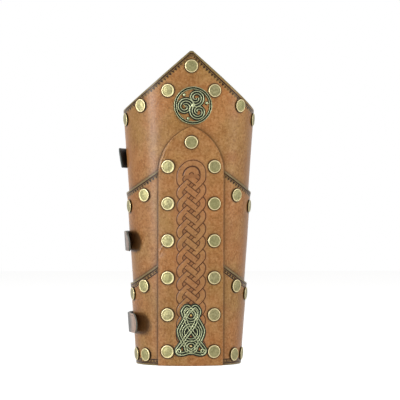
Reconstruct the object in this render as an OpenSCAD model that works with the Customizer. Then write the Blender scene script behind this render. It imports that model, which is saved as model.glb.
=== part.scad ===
// Leather arm guard of three overlapping lames joined by a riveted spine, with three buckled straps.
// Millimetres. The origin is on the forearm's axis at the wrist rim, +Z runs up to the elbow point,
// and the spine faces -Y. A facing is a turn about Z from -Y, positive towards +X.

/* [Guard body] */
// Height from the wrist rim to the elbow point
guard_h = 265.8; // [250:0.2:285]
// Distance of the shoulders, where the elbow point begins, below its tip
shoulder_drop = 48.8; // [40:0.2:56]
// Radius of the oval's sides at shoulder height
shoulder_r = 46; // [43:0.5:50]
// Radius of the oval's sides at the wrist, under the lames
wrist_r = 31.2; // [29:0.1:34]
// Distance of each side arc's centre from the middle
side_centre = 10; // [8:0.5:13]
// Distance of the front and back arcs' centres from the middle
front_centre = 24; // [20:0.5:30]
// Width of the opening down the back
back_gap = 36; // [30:1:40]
// Thickness of the lame leather
leather_t = 1.8; // [1.5:0.1:2.2]
// Air between two lames
lame_gap = 0.05; // [0.03:0.01:0.1]

/* [Lames] */
// Height of the middle lame's top edge above the lowest spine rivets, in rivet spacings
middle_rows = 5.16; // [5.1:0.01:5.25]
// Fall of the middle lame's top edge per millimetre sideways
middle_slope = 0.73; // [0.6:0.01:0.85]
// Height of the lower lame's top edge above the lowest spine rivets, in rivet spacings
lower_rows = 2.61; // [2.4:0.01:2.65]
// Fall of the lower lame's top edge per millimetre sideways
lower_slope = 0.75; // [0.6:0.01:0.85]
// Half width of the level part of those edges, hidden by the spine
level_half = 17; // [12:0.5:20]
// Height that one lame is hidden under the next
lame_lap = 22; // [17:0.5:24]

/* [Spine] */
// Width of the spine
spine_w = 55.4; // [50:0.2:62]
// Distance of the spine's point below the elbow point
spine_drop = 64.2; // [60:0.2:70]
// Radius of the two arcs that meet at the spine's point
arch_r = 40.3; // [36:0.1:50]
// Length of each step down over a lame's edge
step_run = 5; // [3:0.5:6]

/* [Rivets] */
// Radius of a dress rivet's cap
cap_r = 5.5; // [4.5:0.1:6]
// Height of a dress rivet's cap
cap_h = 1.9; // [1.4:0.1:2.6]
// Height of a cap's straight edge
cap_edge = 0.5; // [0.3:0.1:0.8]
// Radius of a rivet's shank
shank_r = 1.5; // [1.2:0.1:1.8]
// Air round a shank in its hole
shank_air = 0.1; // [0.05:0.05:0.2]
// Radius of the burr that closes a rivet on the inside
burr_r = 4; // [3.2:0.1:4.5]
// Thickness of a burr
burr_h = 0.9; // [0.6:0.1:1.2]
// Distance of the spine's rivets from the middle
spine_rivet_x = 19.5; // [17:0.5:21]
// Height of the lowest pair of spine rivets
spine_rivet_z = 12.2; // [10:0.1:14]
// Distance of the highest pair of spine rivets below the spine's point
spine_pair_drop = 33.65; // [30:0.05:36]
// Distance of the top spine rivet below the spine's point
spine_tip_drop = 13.3; // [11:0.1:15]
// Distance of the elbow rivet below the elbow point
elbow_drop = 13.7; // [12:0.1:16]
// Sideways distance of the elbow pair
elbow_pair_x = 19.6; // [18:0.1:22]
// Distance of the elbow pair below the edge
elbow_pair_drop = 17; // [15:0.5:20]
// Sideways distance of the corner rivets
corner_x = 42; // [40:0.5:43]
// Distance of the upper lame's corner and side rivets below its edge
upper_drop = 9.6; // [8.5:0.1:12]
// Sideways distance of the overlap rivets
lap_rivet_x = 39; // [38:0.5:42]
// Distance of the middle lame's rivets below its edge
middle_drop = 12.8; // [10:0.1:14]
// Distance of the lower lame's rivets below its edge
lower_drop = 9.8; // [9:0.1:13]
// Facing of the rivets at the sides
side_facing = 76; // [74:1:80]
// Height of the wrist row
wrist_row_z = 8.9; // [7.5:0.1:11]
// Sideways distance of the wrist row
wrist_row_x = 37.4; // [36:0.2:38]

/* [Ornaments] */
// Radius of the round medallion
medal_r = 15.8; // [14:0.1:16]
// Distance of the medallion's centre below the elbow point
medal_drop = 46.6; // [46:0.1:47.2]
// Sideways shift of the medallion
medal_x = 1.4; // [0:0.1:1.6]
// Thickness of both ornaments
ornament_t = 2.2; // [1.6:0.1:2.8]
// Width of a bent rod in the openwork
lace_w = 1.9; // [1.5:0.1:2.2]
// Height of the wrist plaque
plaque_h = 43; // [40:0.5:44]
// Width of the wrist plaque
plaque_w = 26.8; // [24:0.2:27.4]
// Height of the plaque's lower end
plaque_z = 9; // [7:0.5:10]
// Radius of the posts that hold the ornaments
post_r = 1; // [0.8:0.1:1.2]

/* [Straps] */
// Heights of the three straps, from the wrist up
strap_heights = [35.5, 105, 176];
// Facings at which the three strap tails end, from the wrist up, measured from the front
tail_facings = [58, 66, 87];
// Width of a strap
strap_w = 17; // [15:0.5:19]
// Thickness of a strap
strap_t = 1.8; // [1.5:0.1:2]
// Air under a strap or a buckle leather that is riveted down
seat_air = 0.1; // [0.08:0.01:0.15]
// Distance round the back from the middle to a strap's riveted end
root_end = 45; // [42:0.5:48]
// Distances of a strap's two rivets before its riveted end
root_rivet_in = 6.5; // [5.5:0.5:8]
// Distance between a strap's two rivets
root_rivet_pitch = 12; // [10:0.5:13]
// Height of a strap's tail above the lames where it lies lowest
tail_gap = 2.8; // [2.5:0.1:4]
// Extra height to which the three tails lift at their free ends, from the wrist up
tail_lifts = [3, 2.6, 0.6];
// Extra height of each tail's upper edge over its lower edge at the free end
tail_twists = [0.8, 0.5, 1.8];
// Length over which a tail settles and then lifts
tail_run = 20; // [16:1:24]
// Radius of the shallow arc that ends a strap
tail_arc_r = 11; // [9:0.5:14]
// Length of a prong hole
slot_l = 7.8; // [7.6:0.1:8.4]
// Distance of the prong hole in use from the heel bar
slot_u = 5.1; // [5:0.1:5.3]
// Width of a prong hole
slot_w = 3; // [2.6:0.1:3.4]
// Distance between prong holes
slot_pitch = 12; // [11:0.5:14]
// Number of prong holes on the tail side of the one in use
spare_slots = 3; // [1:1:4]

/* [Buckles] */
// Thickness of the leather that holds a buckle
chape_t = 1.4; // [1.2:0.1:1.5]
// Distance round the back from the middle to the heel bar
heel_s = 8; // [6:0.5:9]
// Distance round the back from the middle to the far bar
far_s = 4; // [3:0.5:6]
// Radius of the buckle's bars
bar_r = 1.2; // [1:0.1:1.3]
// Air between a strap's edge and the buckle's side bar
side_air = 0.5; // [0.4:0.1:0.8]
// Air round the heel bar in its leather and in the prong's eye
heel_air = 0.1; // [0.05:0.01:0.12]
// Air between the strap and the far bar
far_air = 0.45; // [0.4:0.05:0.6]
// Bend radius of the buckle's far corners
corner_r = 2.5; // [2:0.1:3]
// Radius of the prong
prong_r = 0.8; // [0.7:0.05:0.9]
// Wall of the prong's eye
eye_wall = 0.8; // [0.6:0.1:0.9]
// Width of the prong's eye
eye_w = 2.6; // [2.2:0.1:2.8]
// Air beside the prong's eye in its slot
eye_air = 0.4; // [0.3:0.1:0.5]
// Length of the prong past the far bar
prong_over = 2.2; // [1.6:0.1:2.6]
// Distance from the middle to the first chape rivet
chape_rivet_s = 24.5; // [24:0.5:26]
// Distance from the first to the second chape rivet
chape_rivet_pitch = 20; // [19.5:0.5:21]
// Length of the chape past its second rivet
chape_end = 6; // [5.5:0.5:8]
// Radius of the caps on strap and chape rivets
small_cap_r = 4; // [3.5:0.1:4]
// Height of those caps
small_cap_h = 1.1; // [0.8:0.1:1.2]
// Thickness of a keeper
keeper_t = 1.2; // [1:0.1:1.3]
// Length of a keeper along its strap
keeper_l = 6.6; // [5:0.2:7]
// Air between a keeper and the strap
keeper_air = 0.3; // [0.25:0.05:0.5]

/* [Hidden] */
// Thickness of one lame with its air, and the widening of the cone per millimetre of height
step = leather_t + lame_gap;
shoulder_z = guard_h - shoulder_drop;
spine_top = guard_h - spine_drop;
medal_z = guard_h - medal_drop;
spine_pairs = 6;
spine_pitch = (spine_top - spine_pair_drop - spine_rivet_z) / (spine_pairs - 1);
middle_top = spine_rivet_z + middle_rows * spine_pitch;
lower_top = spine_rivet_z + lower_rows * spine_pitch;
taper = (shoulder_r - wrist_r) / shoulder_z;
lean = atan(taper);
centre_span = sqrt(pow(side_centre, 2) + pow(front_centre, 2));
join_facing = atan(side_centre / front_centre);
elbow_slope = shoulder_drop / (side_centre + shoulder_r);
// Reach of cutting solids past the guard
reach = 2 * (side_centre + shoulder_r);
// Length of a wedge's sides as a multiple of the distance between two arcs' centres
wedge_reach = 4;
seat_min = 0.05;
prong_rest = 0.02;
ring_over = 5;
hole_r = shank_r + shank_air;
spine_offset_x = arch_r - spine_w / 2;
spine_spring = spine_top - sqrt(pow(arch_r, 2) - pow(spine_offset_x, 2));
edge_air = 0.5;
levels = [0, 1, 2];
level_names = ["lower", "middle", "upper"];
// Heights above the lames of each layer in a strap's stack: the chape folded round the bar,
// the keeper between its two layers, then the strap
chape_low = seat_air + chape_t / 2;
chape_high = seat_air + 1.5 * chape_t + seat_air;
keeper_bump = keeper_t + 2 * seat_air + 0.05;
fold_r = bar_r + heel_air + chape_t / 2;
heel_v = (chape_low + chape_high) / 2;
chape_top = chape_high + chape_t / 2;
strap_top = seat_air + strap_t;
strap_stand = max(chape_top + keeper_bump, heel_v + fold_r + chape_t / 2, chape_top + small_cap_h) + 0.25;
far_v = seat_air + strap_t + far_air + bar_r;
keeper_s = chape_rivet_s + chape_rivet_pitch / 2;
chape_end_s = chape_rivet_s + chape_rivet_pitch + chape_end;
// Half lengths of the chape's rise over the keeper, from its level top to where a cap needs it flat
bump_half = keeper_l / 2 + 2 * seat_air;
bump_end = chape_rivet_pitch / 2 - small_cap_r - seat_air;
chape_slot_w = eye_w + 2 * eye_air;
fold_run = 7;

function side_r(z) = wrist_r + taper * z;
function unit(v) = v / norm(v);
function smooth(x) = x <= 0 ? 0 : x >= 1 ? 1 : x * x * (3 - 2 * x);
function outward(f) = [sin(f), -cos(f)];
function onward(f) = [cos(f), sin(f)];

// Point of the four-arc oval whose side arcs have radius r, at facing f
function oval_at(f, r) =
    cos(f) > cos(join_facing) ? [0, front_centre] + (r + centre_span) * outward(f)
    : cos(f) < -cos(join_facing) ? [0, -front_centre] + (r + centre_span) * outward(f)
    : [sign(sin(f)) * side_centre, 0] + r * outward(f);

// Facing of the oval's point at sideways distance x
function facing_at(x, r) =
    abs(x) < (r + centre_span) * sin(join_facing) ? asin(x / (r + centre_span))
    : sign(x) * asin((abs(x) - side_centre) / r);

// Facing of the point that lies s round the oval from the middle of the back, positive to the right
function facing_of(s, r) =
    let (join_s = (r + centre_span) * join_facing * PI / 180)
    180 - sign(s) * (abs(s) < join_s ? abs(s) / (r + centre_span) * 180 / PI
        : join_facing + (abs(s) - join_s) / r * 180 / PI);

function back_length(facing, r) =
    ((r + centre_span) * join_facing + r * (180 - join_facing - facing)) * PI / 180;

// Heights of the edges of each lame at sideways distance x
function elbow_edge(x) = guard_h - elbow_slope * abs(x);
function middle_edge(x) = middle_top - middle_slope * max(0, abs(x) - level_half);
function lower_edge(x) = lower_top - lower_slope * max(0, abs(x) - level_half);

// Height at which a sloped top edge reaches the side of the oval
function side_height(top, slope, layer) =
    (top - slope * (side_centre + wrist_r + layer * step - level_half)) / (1 + slope * taper);
middle_side = side_height(middle_top, middle_slope, 1);
lower_side = side_height(lower_top, lower_slope, 2);

function reversed(list) = [for (i = [len(list) - 1:-1:0]) list[i]];

// Solid ring of the oval through a list of [height, inner offset, outer offset]: four cones, each kept
// in the wedge between the lines that join its centre to its neighbours' centres
module oval_ring(stations) {
    module arc(centre, extra, wedge) {
        profile = concat(
            [for (s = stations) [side_r(s[0]) + extra + s[2], s[0]]],
            [for (s = reversed(stations)) [side_r(s[0]) + extra + s[1], s[0]]]);
        intersection() {
            translate([centre[0], centre[1], 0]) rotate_extrude($fn = 180) polygon(profile);
            translate([0, 0, -1]) linear_extrude(guard_h + reach) polygon(wedge);
        }
    }
    side_far = wedge_reach * side_centre;
    front_far = (wedge_reach - 1) * front_centre;
    for (way = [-1, 1]) {
        arc([0, way * front_centre], centre_span,
            [[0, way * front_centre], [side_far, -way * front_far], [-side_far, -way * front_far]]);
        arc([way * side_centre, 0], 0,
            [[way * side_centre, 0], [way * side_far, -front_far], [way * reach, -front_far],
                [way * reach, front_far], [way * side_far, front_far]]);
    }
}

// Inner and outer faces of the leather in one layer, at one height
function leather_at(z, layer) = [z, layer * step - leather_t, layer * step];

// Puts children on the guard with their Z outwards, Y up the lean of the wall and X along the surface
module on_wall(f, z, offset) {
    p = oval_at(f, side_r(z) + offset);
    translate([p[0], p[1], z]) rotate([90, 0, f]) rotate([lean, 0, 0]) children();
}

// Prism through the front half from an outline drawn in X and Z
module front_prism() {
    rotate([90, 0, 0]) linear_extrude(reach) children();
}

// Block that keeps the back half between two heights
module back_block(low, high) {
    difference() {
        translate([-reach, 0, low]) cube([2 * reach, reach, high - low]);
        translate([-back_gap / 2, 0, low - 1]) cube([back_gap, 2 * reach, high - low + 2]);
    }
}

// Holes for rivets given as a list of [facing, height, outer layer, innermost layer]
module rivet_holes(places) {
    for (p = places)
        on_wall(p[0], p[1], p[2] * step)
            translate([0, 0, -4 * step]) cylinder(r = hole_r, h = 8 * step, $fn = 32);
}

// One rivet: a low dome outside, a shank through the leather and a burr inside
module rivet(radius, height, grip, bend_r) {
    dome = height - cap_edge;
    dome_r = (pow(radius, 2) + pow(dome, 2)) / (2 * dome);
    sag = bend_r - sqrt(pow(bend_r, 2) - pow(burr_r, 2));
    burr_z = -grip - sag - seat_min;
    translate([0, 0, seat_min]) {
        intersection() {
            translate([0, 0, height - dome_r]) sphere(r = dome_r, $fn = 96);
            cylinder(r = radius, h = height, $fn = 48);
        }
    }
    translate([0, 0, burr_z - burr_h / 2])
        cylinder(r = shank_r, h = burr_h / 2 - burr_z + 2 * seat_min, $fn = 32);
    translate([0, 0, burr_z - burr_h]) cylinder(r = burr_r, h = burr_h, $fn = 48);
}

// Rivets given as a list of [facing, height, outer layer, innermost layer]
module rivets(places) {
    color("darkkhaki")
        for (p = places)
            on_wall(p[0], p[1], p[2] * step)
                rivet(cap_r, cap_h, (p[2] - p[3]) * step + leather_t, side_r(p[1]) - leather_t);
}

// Innermost lame at sideways distance x and height z
function inner_layer(x, z) = z > middle_edge(x) - lame_lap ? 0 : z > lower_edge(x) - lame_lap ? 1 : 2;
function spine_layer(z) = z < lower_top + edge_air ? 3 : z < middle_top + edge_air ? 2 : 1;
function place_at(x, z, outer, inner) = [facing_at(x, side_r(z) + outer * step), z, outer, inner];
function both_sides(x) = [-x, x];
function side_x(layer, z) = side_centre + (side_r(z) + layer * step) * sin(side_facing);

spine_places = concat(
    [for (i = [0:spine_pairs - 1], x = both_sides(spine_rivet_x))
        let (z = spine_rivet_z + i * spine_pitch)
        place_at(x, z, spine_layer(z), inner_layer(x, z))],
    [place_at(0, spine_top - spine_tip_drop, 1, 0)]);

upper_places = concat(
    [place_at(0, guard_h - elbow_drop, 0, 0)],
    [for (x = both_sides(elbow_pair_x)) place_at(x, elbow_edge(x) - elbow_pair_drop, 0, 0)],
    [for (x = both_sides(corner_x)) place_at(x, elbow_edge(x) - upper_drop, 0, 0)],
    [for (f = both_sides(side_facing)) [f, elbow_edge(side_x(0, shoulder_z)) - upper_drop, 0, 0]]);

middle_places = concat(
    [for (x = both_sides(lap_rivet_x)) place_at(x, middle_edge(x) - middle_drop, 1, 0)],
    [for (f = both_sides(side_facing)) [f, middle_edge(side_x(1, middle_side)) - middle_drop, 1, 0]]);

lower_places = concat(
    [for (x = both_sides(lap_rivet_x)) place_at(x, lower_edge(x) - lower_drop, 2, 1)],
    [for (f = both_sides(side_facing)) [f, lower_edge(side_x(2, lower_side)) - lower_drop, 2, 1]]);

wrist_places = concat(
    [for (x = both_sides(wrist_row_x)) place_at(x, wrist_row_z, 2, 2)],
    [for (f = both_sides(side_facing)) [f, wrist_row_z, 2, 2]]);

// Facing of a distance round the back at one strap's height, and the wall's radius there
function strap_z(i) = strap_heights[i];
function strap_layer(i) = 2 - i;
function wall_r(i, z) = side_r(z) + strap_layer(i) * step;
function strap_facing(i, s) = facing_of(s, wall_r(i, strap_z(i)));
function tail_s(i) = -back_length(tail_facings[i], wall_r(i, strap_z(i)));
function root_rivet_s(j) = root_end - root_rivet_in - j * root_rivet_pitch;
function chape_rivet_at(j) = -chape_rivet_s - j * chape_rivet_pitch;

function strap_place(i, s) = [strap_facing(i, s), strap_z(i), strap_layer(i), strap_layer(i)];
strap_rivet_places = [for (i = levels) [for (j = [0, 1]) strap_place(i, root_rivet_s(j))]];
chape_rivet_places = [for (i = levels) [for (j = [0, 1]) strap_place(i, chape_rivet_at(j))]];

module lame(layer, low, high, low_side, high_side, holes) {
    difference() {
        intersection() {
            oval_ring([leather_at(low, layer), leather_at(high, layer)]);
            union() {
                children();
                back_block(low_side, high_side);
            }
        }
        for (h = holes) rivet_holes(h);
    }
}

// Outline between two edges that are level under the spine and fall to both sides
module chevron(top, slope, low, low_slope) {
    far = reach;
    polygon([
        [-far, top - slope * (far - level_half)], [-level_half, top], [level_half, top],
        [far, top - slope * (far - level_half)],
        [far, low - low_slope * (far - level_half)], [level_half, low], [-level_half, low],
        [-far, low - low_slope * (far - level_half)]]);
}

module upper_lame() {
    color("peru")
        lame(0, middle_side - lame_lap - ring_over, guard_h + 1, middle_side - lame_lap, shoulder_z,
            [upper_places, middle_places, spine_places, strap_rivet_places[2], chape_rivet_places[2],
                medal_post_places])
            front_prism()
                polygon([
                    [-reach, elbow_edge(reach)], [0, guard_h], [reach, elbow_edge(reach)],
                    [reach, middle_edge(reach) - lame_lap], [level_half, middle_top - lame_lap],
                    [-level_half, middle_top - lame_lap], [-reach, middle_edge(reach) - lame_lap]]);
}

module middle_lame() {
    color("peru")
        lame(1, lower_side - lame_lap - ring_over, middle_top + 1, lower_side - lame_lap, middle_side,
            [middle_places, lower_places, spine_places, strap_rivet_places[1], chape_rivet_places[1]])
            front_prism() chevron(middle_top, middle_slope, lower_top - lame_lap, lower_slope);
}

module lower_lame() {
    color("peru")
        lame(2, 0, lower_top + 1, 0, lower_side,
            [lower_places, wrist_places, spine_places, strap_rivet_places[0], chape_rivet_places[0],
                plaque_post_places])
            front_prism() chevron(lower_top, lower_slope, 0, 0);
}

// The spine's wall steps down over the top edge of each lame that it covers
spine_wall = [
    leather_at(0, 3), leather_at(lower_top + edge_air, 3),
    leather_at(lower_top + edge_air + step_run, 2), leather_at(middle_top + edge_air, 2),
    leather_at(middle_top + edge_air + step_run, 1), leather_at(spine_top + 1, 1)];

module spine() {
    color("peru")
        difference() {
            intersection() {
                oval_ring(spine_wall);
                front_prism() {
                    intersection() {
                        translate([-spine_offset_x, spine_spring]) circle(r = arch_r, $fn = 180);
                        translate([spine_offset_x, spine_spring]) circle(r = arch_r, $fn = 180);
                        translate([-spine_w / 2, spine_spring]) square([spine_w, spine_top]);
                    }
                    translate([-spine_w / 2, 0]) square([spine_w, spine_spring]);
                }
            }
            rivet_holes(spine_places);
            rivet_holes(plaque_post_places);
        }
}

// Ornaments: openwork of bent rods that lies on the leather and curves with it
medal_turns = 6;
medal_ring_r = (medal_r - lace_w / 2) * 0.46;
medal_ring_at = medal_r - 1.3 * lace_w - medal_ring_r;
plaque_foot_r = plaque_w / 4 + lace_w / 2;
plaque_belly_r = plaque_w * 0.43;
plaque_head_r = plaque_w * 0.32;
plaque_belly_z = plaque_h * 0.44;
plaque_head_z = plaque_h - plaque_head_r;
ornament_grip = 2 * lame_gap;
medal_post_places = [for (x = both_sides(medal_ring_at)) place_at(medal_x + x, medal_z, 0, 0)];
plaque_post_places = [for (z = [plaque_foot_r, plaque_head_z]) place_at(0, plaque_z + z, 3, 2)];

module rod_ring(r) {
    difference() {
        circle(r = r, $fn = 72);
        circle(r = r - lace_w, $fn = 72);
    }
}

module medal_lace() {
    rod_ring(medal_r);
    for (k = [0:medal_turns - 1])
        rotate(k * 360 / medal_turns) translate([medal_ring_at, 0]) rod_ring(medal_ring_r + lace_w / 2);
    for (post = both_sides(medal_ring_at)) translate([post, 0]) circle(r = lace_w, $fn = 36);
}

module plaque_lace() {
    for (x = both_sides(plaque_w / 2 - plaque_foot_r)) translate([x, plaque_foot_r]) rod_ring(plaque_foot_r);
    translate([0, plaque_belly_z]) rod_ring(plaque_belly_r);
    translate([0, plaque_belly_z]) rod_ring(plaque_belly_r / 2);
    translate([0, plaque_head_z]) rod_ring(plaque_head_r);
    for (z = [plaque_foot_r, plaque_head_z]) translate([0, z]) circle(r = lace_w, $fn = 36);
    translate([-lace_w / 2, plaque_foot_r]) square([lace_w, plaque_head_z - plaque_foot_r]);
}

module ornament(layer, low, high) {
    base = layer * step + lame_gap;
    intersection() {
        oval_ring([[low, base, base + ornament_t], [high, base, base + ornament_t]]);
        front_prism() children();
    }
}

module posts(places) {
    color("darkkhaki")
        for (p = places)
            on_wall(p[0], p[1], p[2] * step) {
                grip = (p[2] - p[3]) * step + leather_t;
                bend_r = side_r(p[1]) + centre_span - leather_t;
                depth = grip + bend_r - sqrt(pow(bend_r, 2) - pow(burr_r, 2)) + burr_h;
                translate([0, 0, -depth]) cylinder(r = post_r, h = depth, $fn = 32);
                translate([0, 0, -depth]) cylinder(r = burr_r, h = burr_h - seat_min, $fn = 48);
            }
}

module medallion() {
    color("darkolivegreen")
        ornament(0, medal_z - medal_r - 1, medal_z + medal_r + 1)
            translate([medal_x, medal_z]) medal_lace();
}

module wrist_plaque() {
    color("darkolivegreen")
        ornament(3, plaque_z - 1, plaque_z + plaque_h + 1)
            translate([0, plaque_z]) plaque_lace();
}

// Leather band through a plan path given at its lower and upper edges, triangles throughout
module band(low, high, z_low, z_high, t) {
    n = len(low);
    function across(path, i) =
        let (along = unit(path[min(i + 1, n - 1)] - path[max(i - 1, 0)])) [along[1], -along[0]] * t / 2;
    corners = [for (i = [0:n - 1]) each [
        concat(low[i] - across(low, i), z_low), concat(low[i] + across(low, i), z_low),
        concat(high[i] + across(high, i), z_high), concat(high[i] - across(high, i), z_high)]];
    sides = [for (i = [0:n - 2], k = [0:3])
        let (a = 4 * i + k, b = 4 * i + (k + 1) % 4) each [[a, b, b + 4], [a, b + 4, a + 4]]];
    e = 4 * (n - 1);
    ends = [[0, 3, 2], [0, 2, 1], [e, e + 1, e + 2], [e, e + 2, e + 3]];
    polyhedron(corners, concat(sides, ends));
}

// Height of a strap's inner face above the lames, s round the back; its tail is stiffer than the wall
// is curved, so it lifts towards its end, and by the given amount
function strap_rise(i, s, lift) =
    s > -heel_s ? seat_air + (strap_stand - seat_air) * smooth((far_s + 0.5 - s) / (far_s + heel_s + 0.5))
    : strap_stand - (strap_stand - tail_gap) * smooth((-chape_end_s - s) / (tail_run / 2))
        + lift * pow(max(0, (tail_s(i) + tail_run - s) / tail_run), 2);

function strap_path(i, z, lift) =
    let (first = root_end, tail = tail_s(i), bend = far_s + 1.5,
        runs = concat(
            [for (k = [0:9]) first + (bend - first) * k / 10],
            [for (k = [0:11]) bend - (bend + heel_s + 1) * k / 12],
            [for (k = [0:24]) -heel_s - 1 + (tail + heel_s + 1) * k / 24]))
    [for (s = runs) oval_at(strap_facing(i, s), wall_r(i, z) + strap_rise(i, s, lift) + strap_t / 2)];

module slot_cut(i, s) {
    f = strap_facing(i, s);
    on_wall(f, strap_z(i), strap_layer(i) * step - strap_t)
        linear_extrude(strap_stand + 4 * strap_t) {
            for (x = both_sides((slot_l - slot_w) / 2)) translate([x, 0]) circle(d = slot_w, $fn = 32);
            square([slot_l - slot_w, slot_w], center = true);
        }
}

module strap(i) {
    half = strap_w / 2;
    z = strap_z(i);
    arc_run = tail_arc_r - sqrt(pow(tail_arc_r, 2) - pow(half, 2));
    arc_in = tail_arc_r - arc_run;
    color("dimgray")
        difference() {
            band(strap_path(i, z - half, tail_lifts[i]),
                strap_path(i, z + half, tail_lifts[i] + tail_twists[i]),
                z - half, z + half, strap_t);
            rivet_holes(strap_rivet_places[i]);
            for (k = [-1:spare_slots]) slot_cut(i, slot_u - heel_s - k * slot_pitch);
            on_wall(strap_facing(i, tail_s(i) + arc_run), z, strap_layer(i) * step)
                linear_extrude(strap_stand + 4 * strap_t)
                    difference() {
                        translate([0, -strap_w]) square([strap_w, 2 * strap_w]);
                        translate([-arc_in, 0]) circle(r = tail_arc_r, $fn = 96);
                    }
        }
}

// Plan path of a chape: along the wall, round the heel bar and back over the keeper's inner leg
function chape_point(i, r, s, v) = oval_at(strap_facing(i, s), r + v);
function chape_path(i, z) =
    let (r = wall_r(i, z), f = strap_facing(i, -heel_s), heel = oval_at(f, r + heel_v), count = 16,
        run = chape_end_s - heel_s,
        open = function (s) smooth((s + heel_s + fold_run) / fold_run),
        bump = function (s) keeper_bump * smooth((bump_end - abs(s + keeper_s)) / (bump_end - bump_half)))
    concat(
        [for (k = [0:count - 1]) let (s = -chape_end_s + run * k / count)
            chape_point(i, r, s, chape_low + (heel_v - fold_r - chape_low) * open(s))],
        [for (a = [0:15:180]) heel - fold_r * (cos(a) * outward(f) + sin(a) * onward(f))],
        [for (k = [1:1.5 * count]) let (s = -heel_s - run * k / (1.5 * count))
            chape_point(i, r, s, chape_high + bump(s) + (heel_v + fold_r - chape_high) * open(s))]);

module chape(i) {
    half = strap_w / 2;
    z = strap_z(i);
    f = strap_facing(i, -heel_s);
    slot_x = bar_r + heel_air + eye_wall + eye_air;
    color("dimgray")
        difference() {
            band(chape_path(i, z - half), chape_path(i, z + half), z - half, z + half, chape_t);
            rivet_holes(chape_rivet_places[i]);
            on_wall(f, z, strap_layer(i) * step - 2 * fold_r)
                linear_extrude(6 * fold_r) {
                    translate([-2 * fold_r, -chape_slot_w / 2]) square([2 * fold_r + slot_x, chape_slot_w]);
                    translate([slot_x, 0]) circle(d = chape_slot_w, $fn = 32);
                }
        }
}

module keeper(i) {
    inner_w = strap_w + 2 * side_air;
    outer_w = inner_w + 2 * keeper_t;
    low = seat_air + chape_t + seat_air / 2;
    window = strap_stand + strap_t + keeper_air - low - keeper_t;
    color("dimgray")
        on_wall(strap_facing(i, -keeper_s), strap_z(i), strap_layer(i) * step + low)
            rotate([0, -90, 0]) translate([0, 0, -keeper_l / 2])
                linear_extrude(keeper_l)
                    difference() {
                        translate([0, -outer_w / 2]) square([window + 2 * keeper_t, outer_w]);
                        translate([keeper_t, -inner_w / 2]) square([window, inner_w]);
                    }
}

// Rivets whose caps lie on a strap or a chape, at a height above the lame
module small_rivets(places, top) {
    color("darkkhaki")
        for (p = places)
            on_wall(p[0], p[1], p[2] * step)
                translate([0, 0, top])
                    rivet(small_cap_r, small_cap_h, top + leather_t, side_r(p[1]) + p[2] * step - leather_t);
}

// Heel bar and far bar of one buckle in plan, and the buckle's tilt off the wall
function heel_facing(i) = strap_facing(i, -heel_s);
function heel_point(i) = oval_at(heel_facing(i), wall_r(i, strap_z(i)) + heel_v);
function far_point(i) = oval_at(strap_facing(i, far_s), wall_r(i, strap_z(i)) + far_v);
function bar_span(i) = norm(far_point(i) - heel_point(i));
function buckle_tilt(i) = let (d = far_point(i) - heel_point(i), f = heel_facing(i))
    atan2(d * outward(f), -(d * onward(f)));
function prong_tilt(i) = buckle_tilt(i) + asin((bar_r + prong_r + prong_rest) / bar_span(i));

module at_heel(i, tilt) {
    p = heel_point(i);
    translate([p[0], p[1], strap_z(i)])
        rotate([90, 0, heel_facing(i)]) rotate([lean, 0, 0]) rotate([0, tilt, 0]) children();
}

module rod(r, length) {
    cylinder(r = r, h = length, $fn = 32);
}

module buckle(i) {
    span = bar_span(i);
    side_y = strap_w / 2 + side_air + bar_r;
    far_y = side_y - corner_r;
    color("goldenrod")
        at_heel(i, buckle_tilt(i)) {
            translate([0, -side_y, 0]) rotate([-90, 0, 0]) rod(bar_r, 2 * side_y);
            translate([-span, -far_y, 0]) rotate([-90, 0, 0]) rod(bar_r, 2 * far_y);
            for (way = [-1, 1]) {
                translate([0, way * side_y, 0]) sphere(r = bar_r, $fn = 32);
                translate([corner_r - span, way * side_y, 0]) rotate([0, 90, 0]) rod(bar_r, span - corner_r);
                translate([corner_r - span, way * far_y, 0])
                    rotate([0, 0, way > 0 ? 90 : 180])
                        rotate_extrude(angle = 90, $fn = 48)
                            translate([corner_r, 0]) circle(r = bar_r, $fn = 32);
            }
        }
}

module prong(i) {
    eye_r = bar_r + heel_air + eye_wall;
    tip = bar_span(i) + prong_over;
    color("goldenrod")
        at_heel(i, prong_tilt(i))
            difference() {
                union() {
                    rotate([90, 0, 0]) cylinder(r = eye_r, h = eye_w, center = true, $fn = 48);
                    translate([-tip, 0, 0]) rotate([0, 90, 0]) rod(prong_r, tip - bar_r);
                    translate([-tip, 0, 0]) sphere(r = prong_r, $fn = 32);
                }
                rotate([90, 0, 0]) cylinder(r = bar_r + heel_air, h = 2 * eye_w, center = true, $fn = 48);
            }
}

upper_lame();
middle_lame();
lower_lame();
spine();
medallion();
posts(medal_post_places);  // medallion_posts
wrist_plaque();
posts(plaque_post_places);  // plaque_posts
rivets(spine_places);  // spine_rivets
rivets(upper_places);  // upper_lame_rivets
rivets(middle_places);  // middle_lame_rivets
rivets(lower_places);  // lower_lame_rivets
rivets(wrist_places);  // wrist_row_rivets
for (i = levels) {
    level = level_names[i];
    strap(i);
    small_rivets(strap_rivet_places[i], strap_top);
    chape(i);
    small_rivets(chape_rivet_places[i], chape_top);
    keeper(i);
    buckle(i);
    prong(i);
}
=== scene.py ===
# %% [markdown]
# # Dressing a leather arm guard
# The real object is a forearm guard: three overlapping leather lames under a riveted leather spine, closed
# at the back by three buckled straps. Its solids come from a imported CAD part, which says where everything
# is. This lesson gives it what the eye needs: rounded leather edges, tooled knotwork, stamped borders,
# brass caps, cast ornaments and supple straps.

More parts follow.
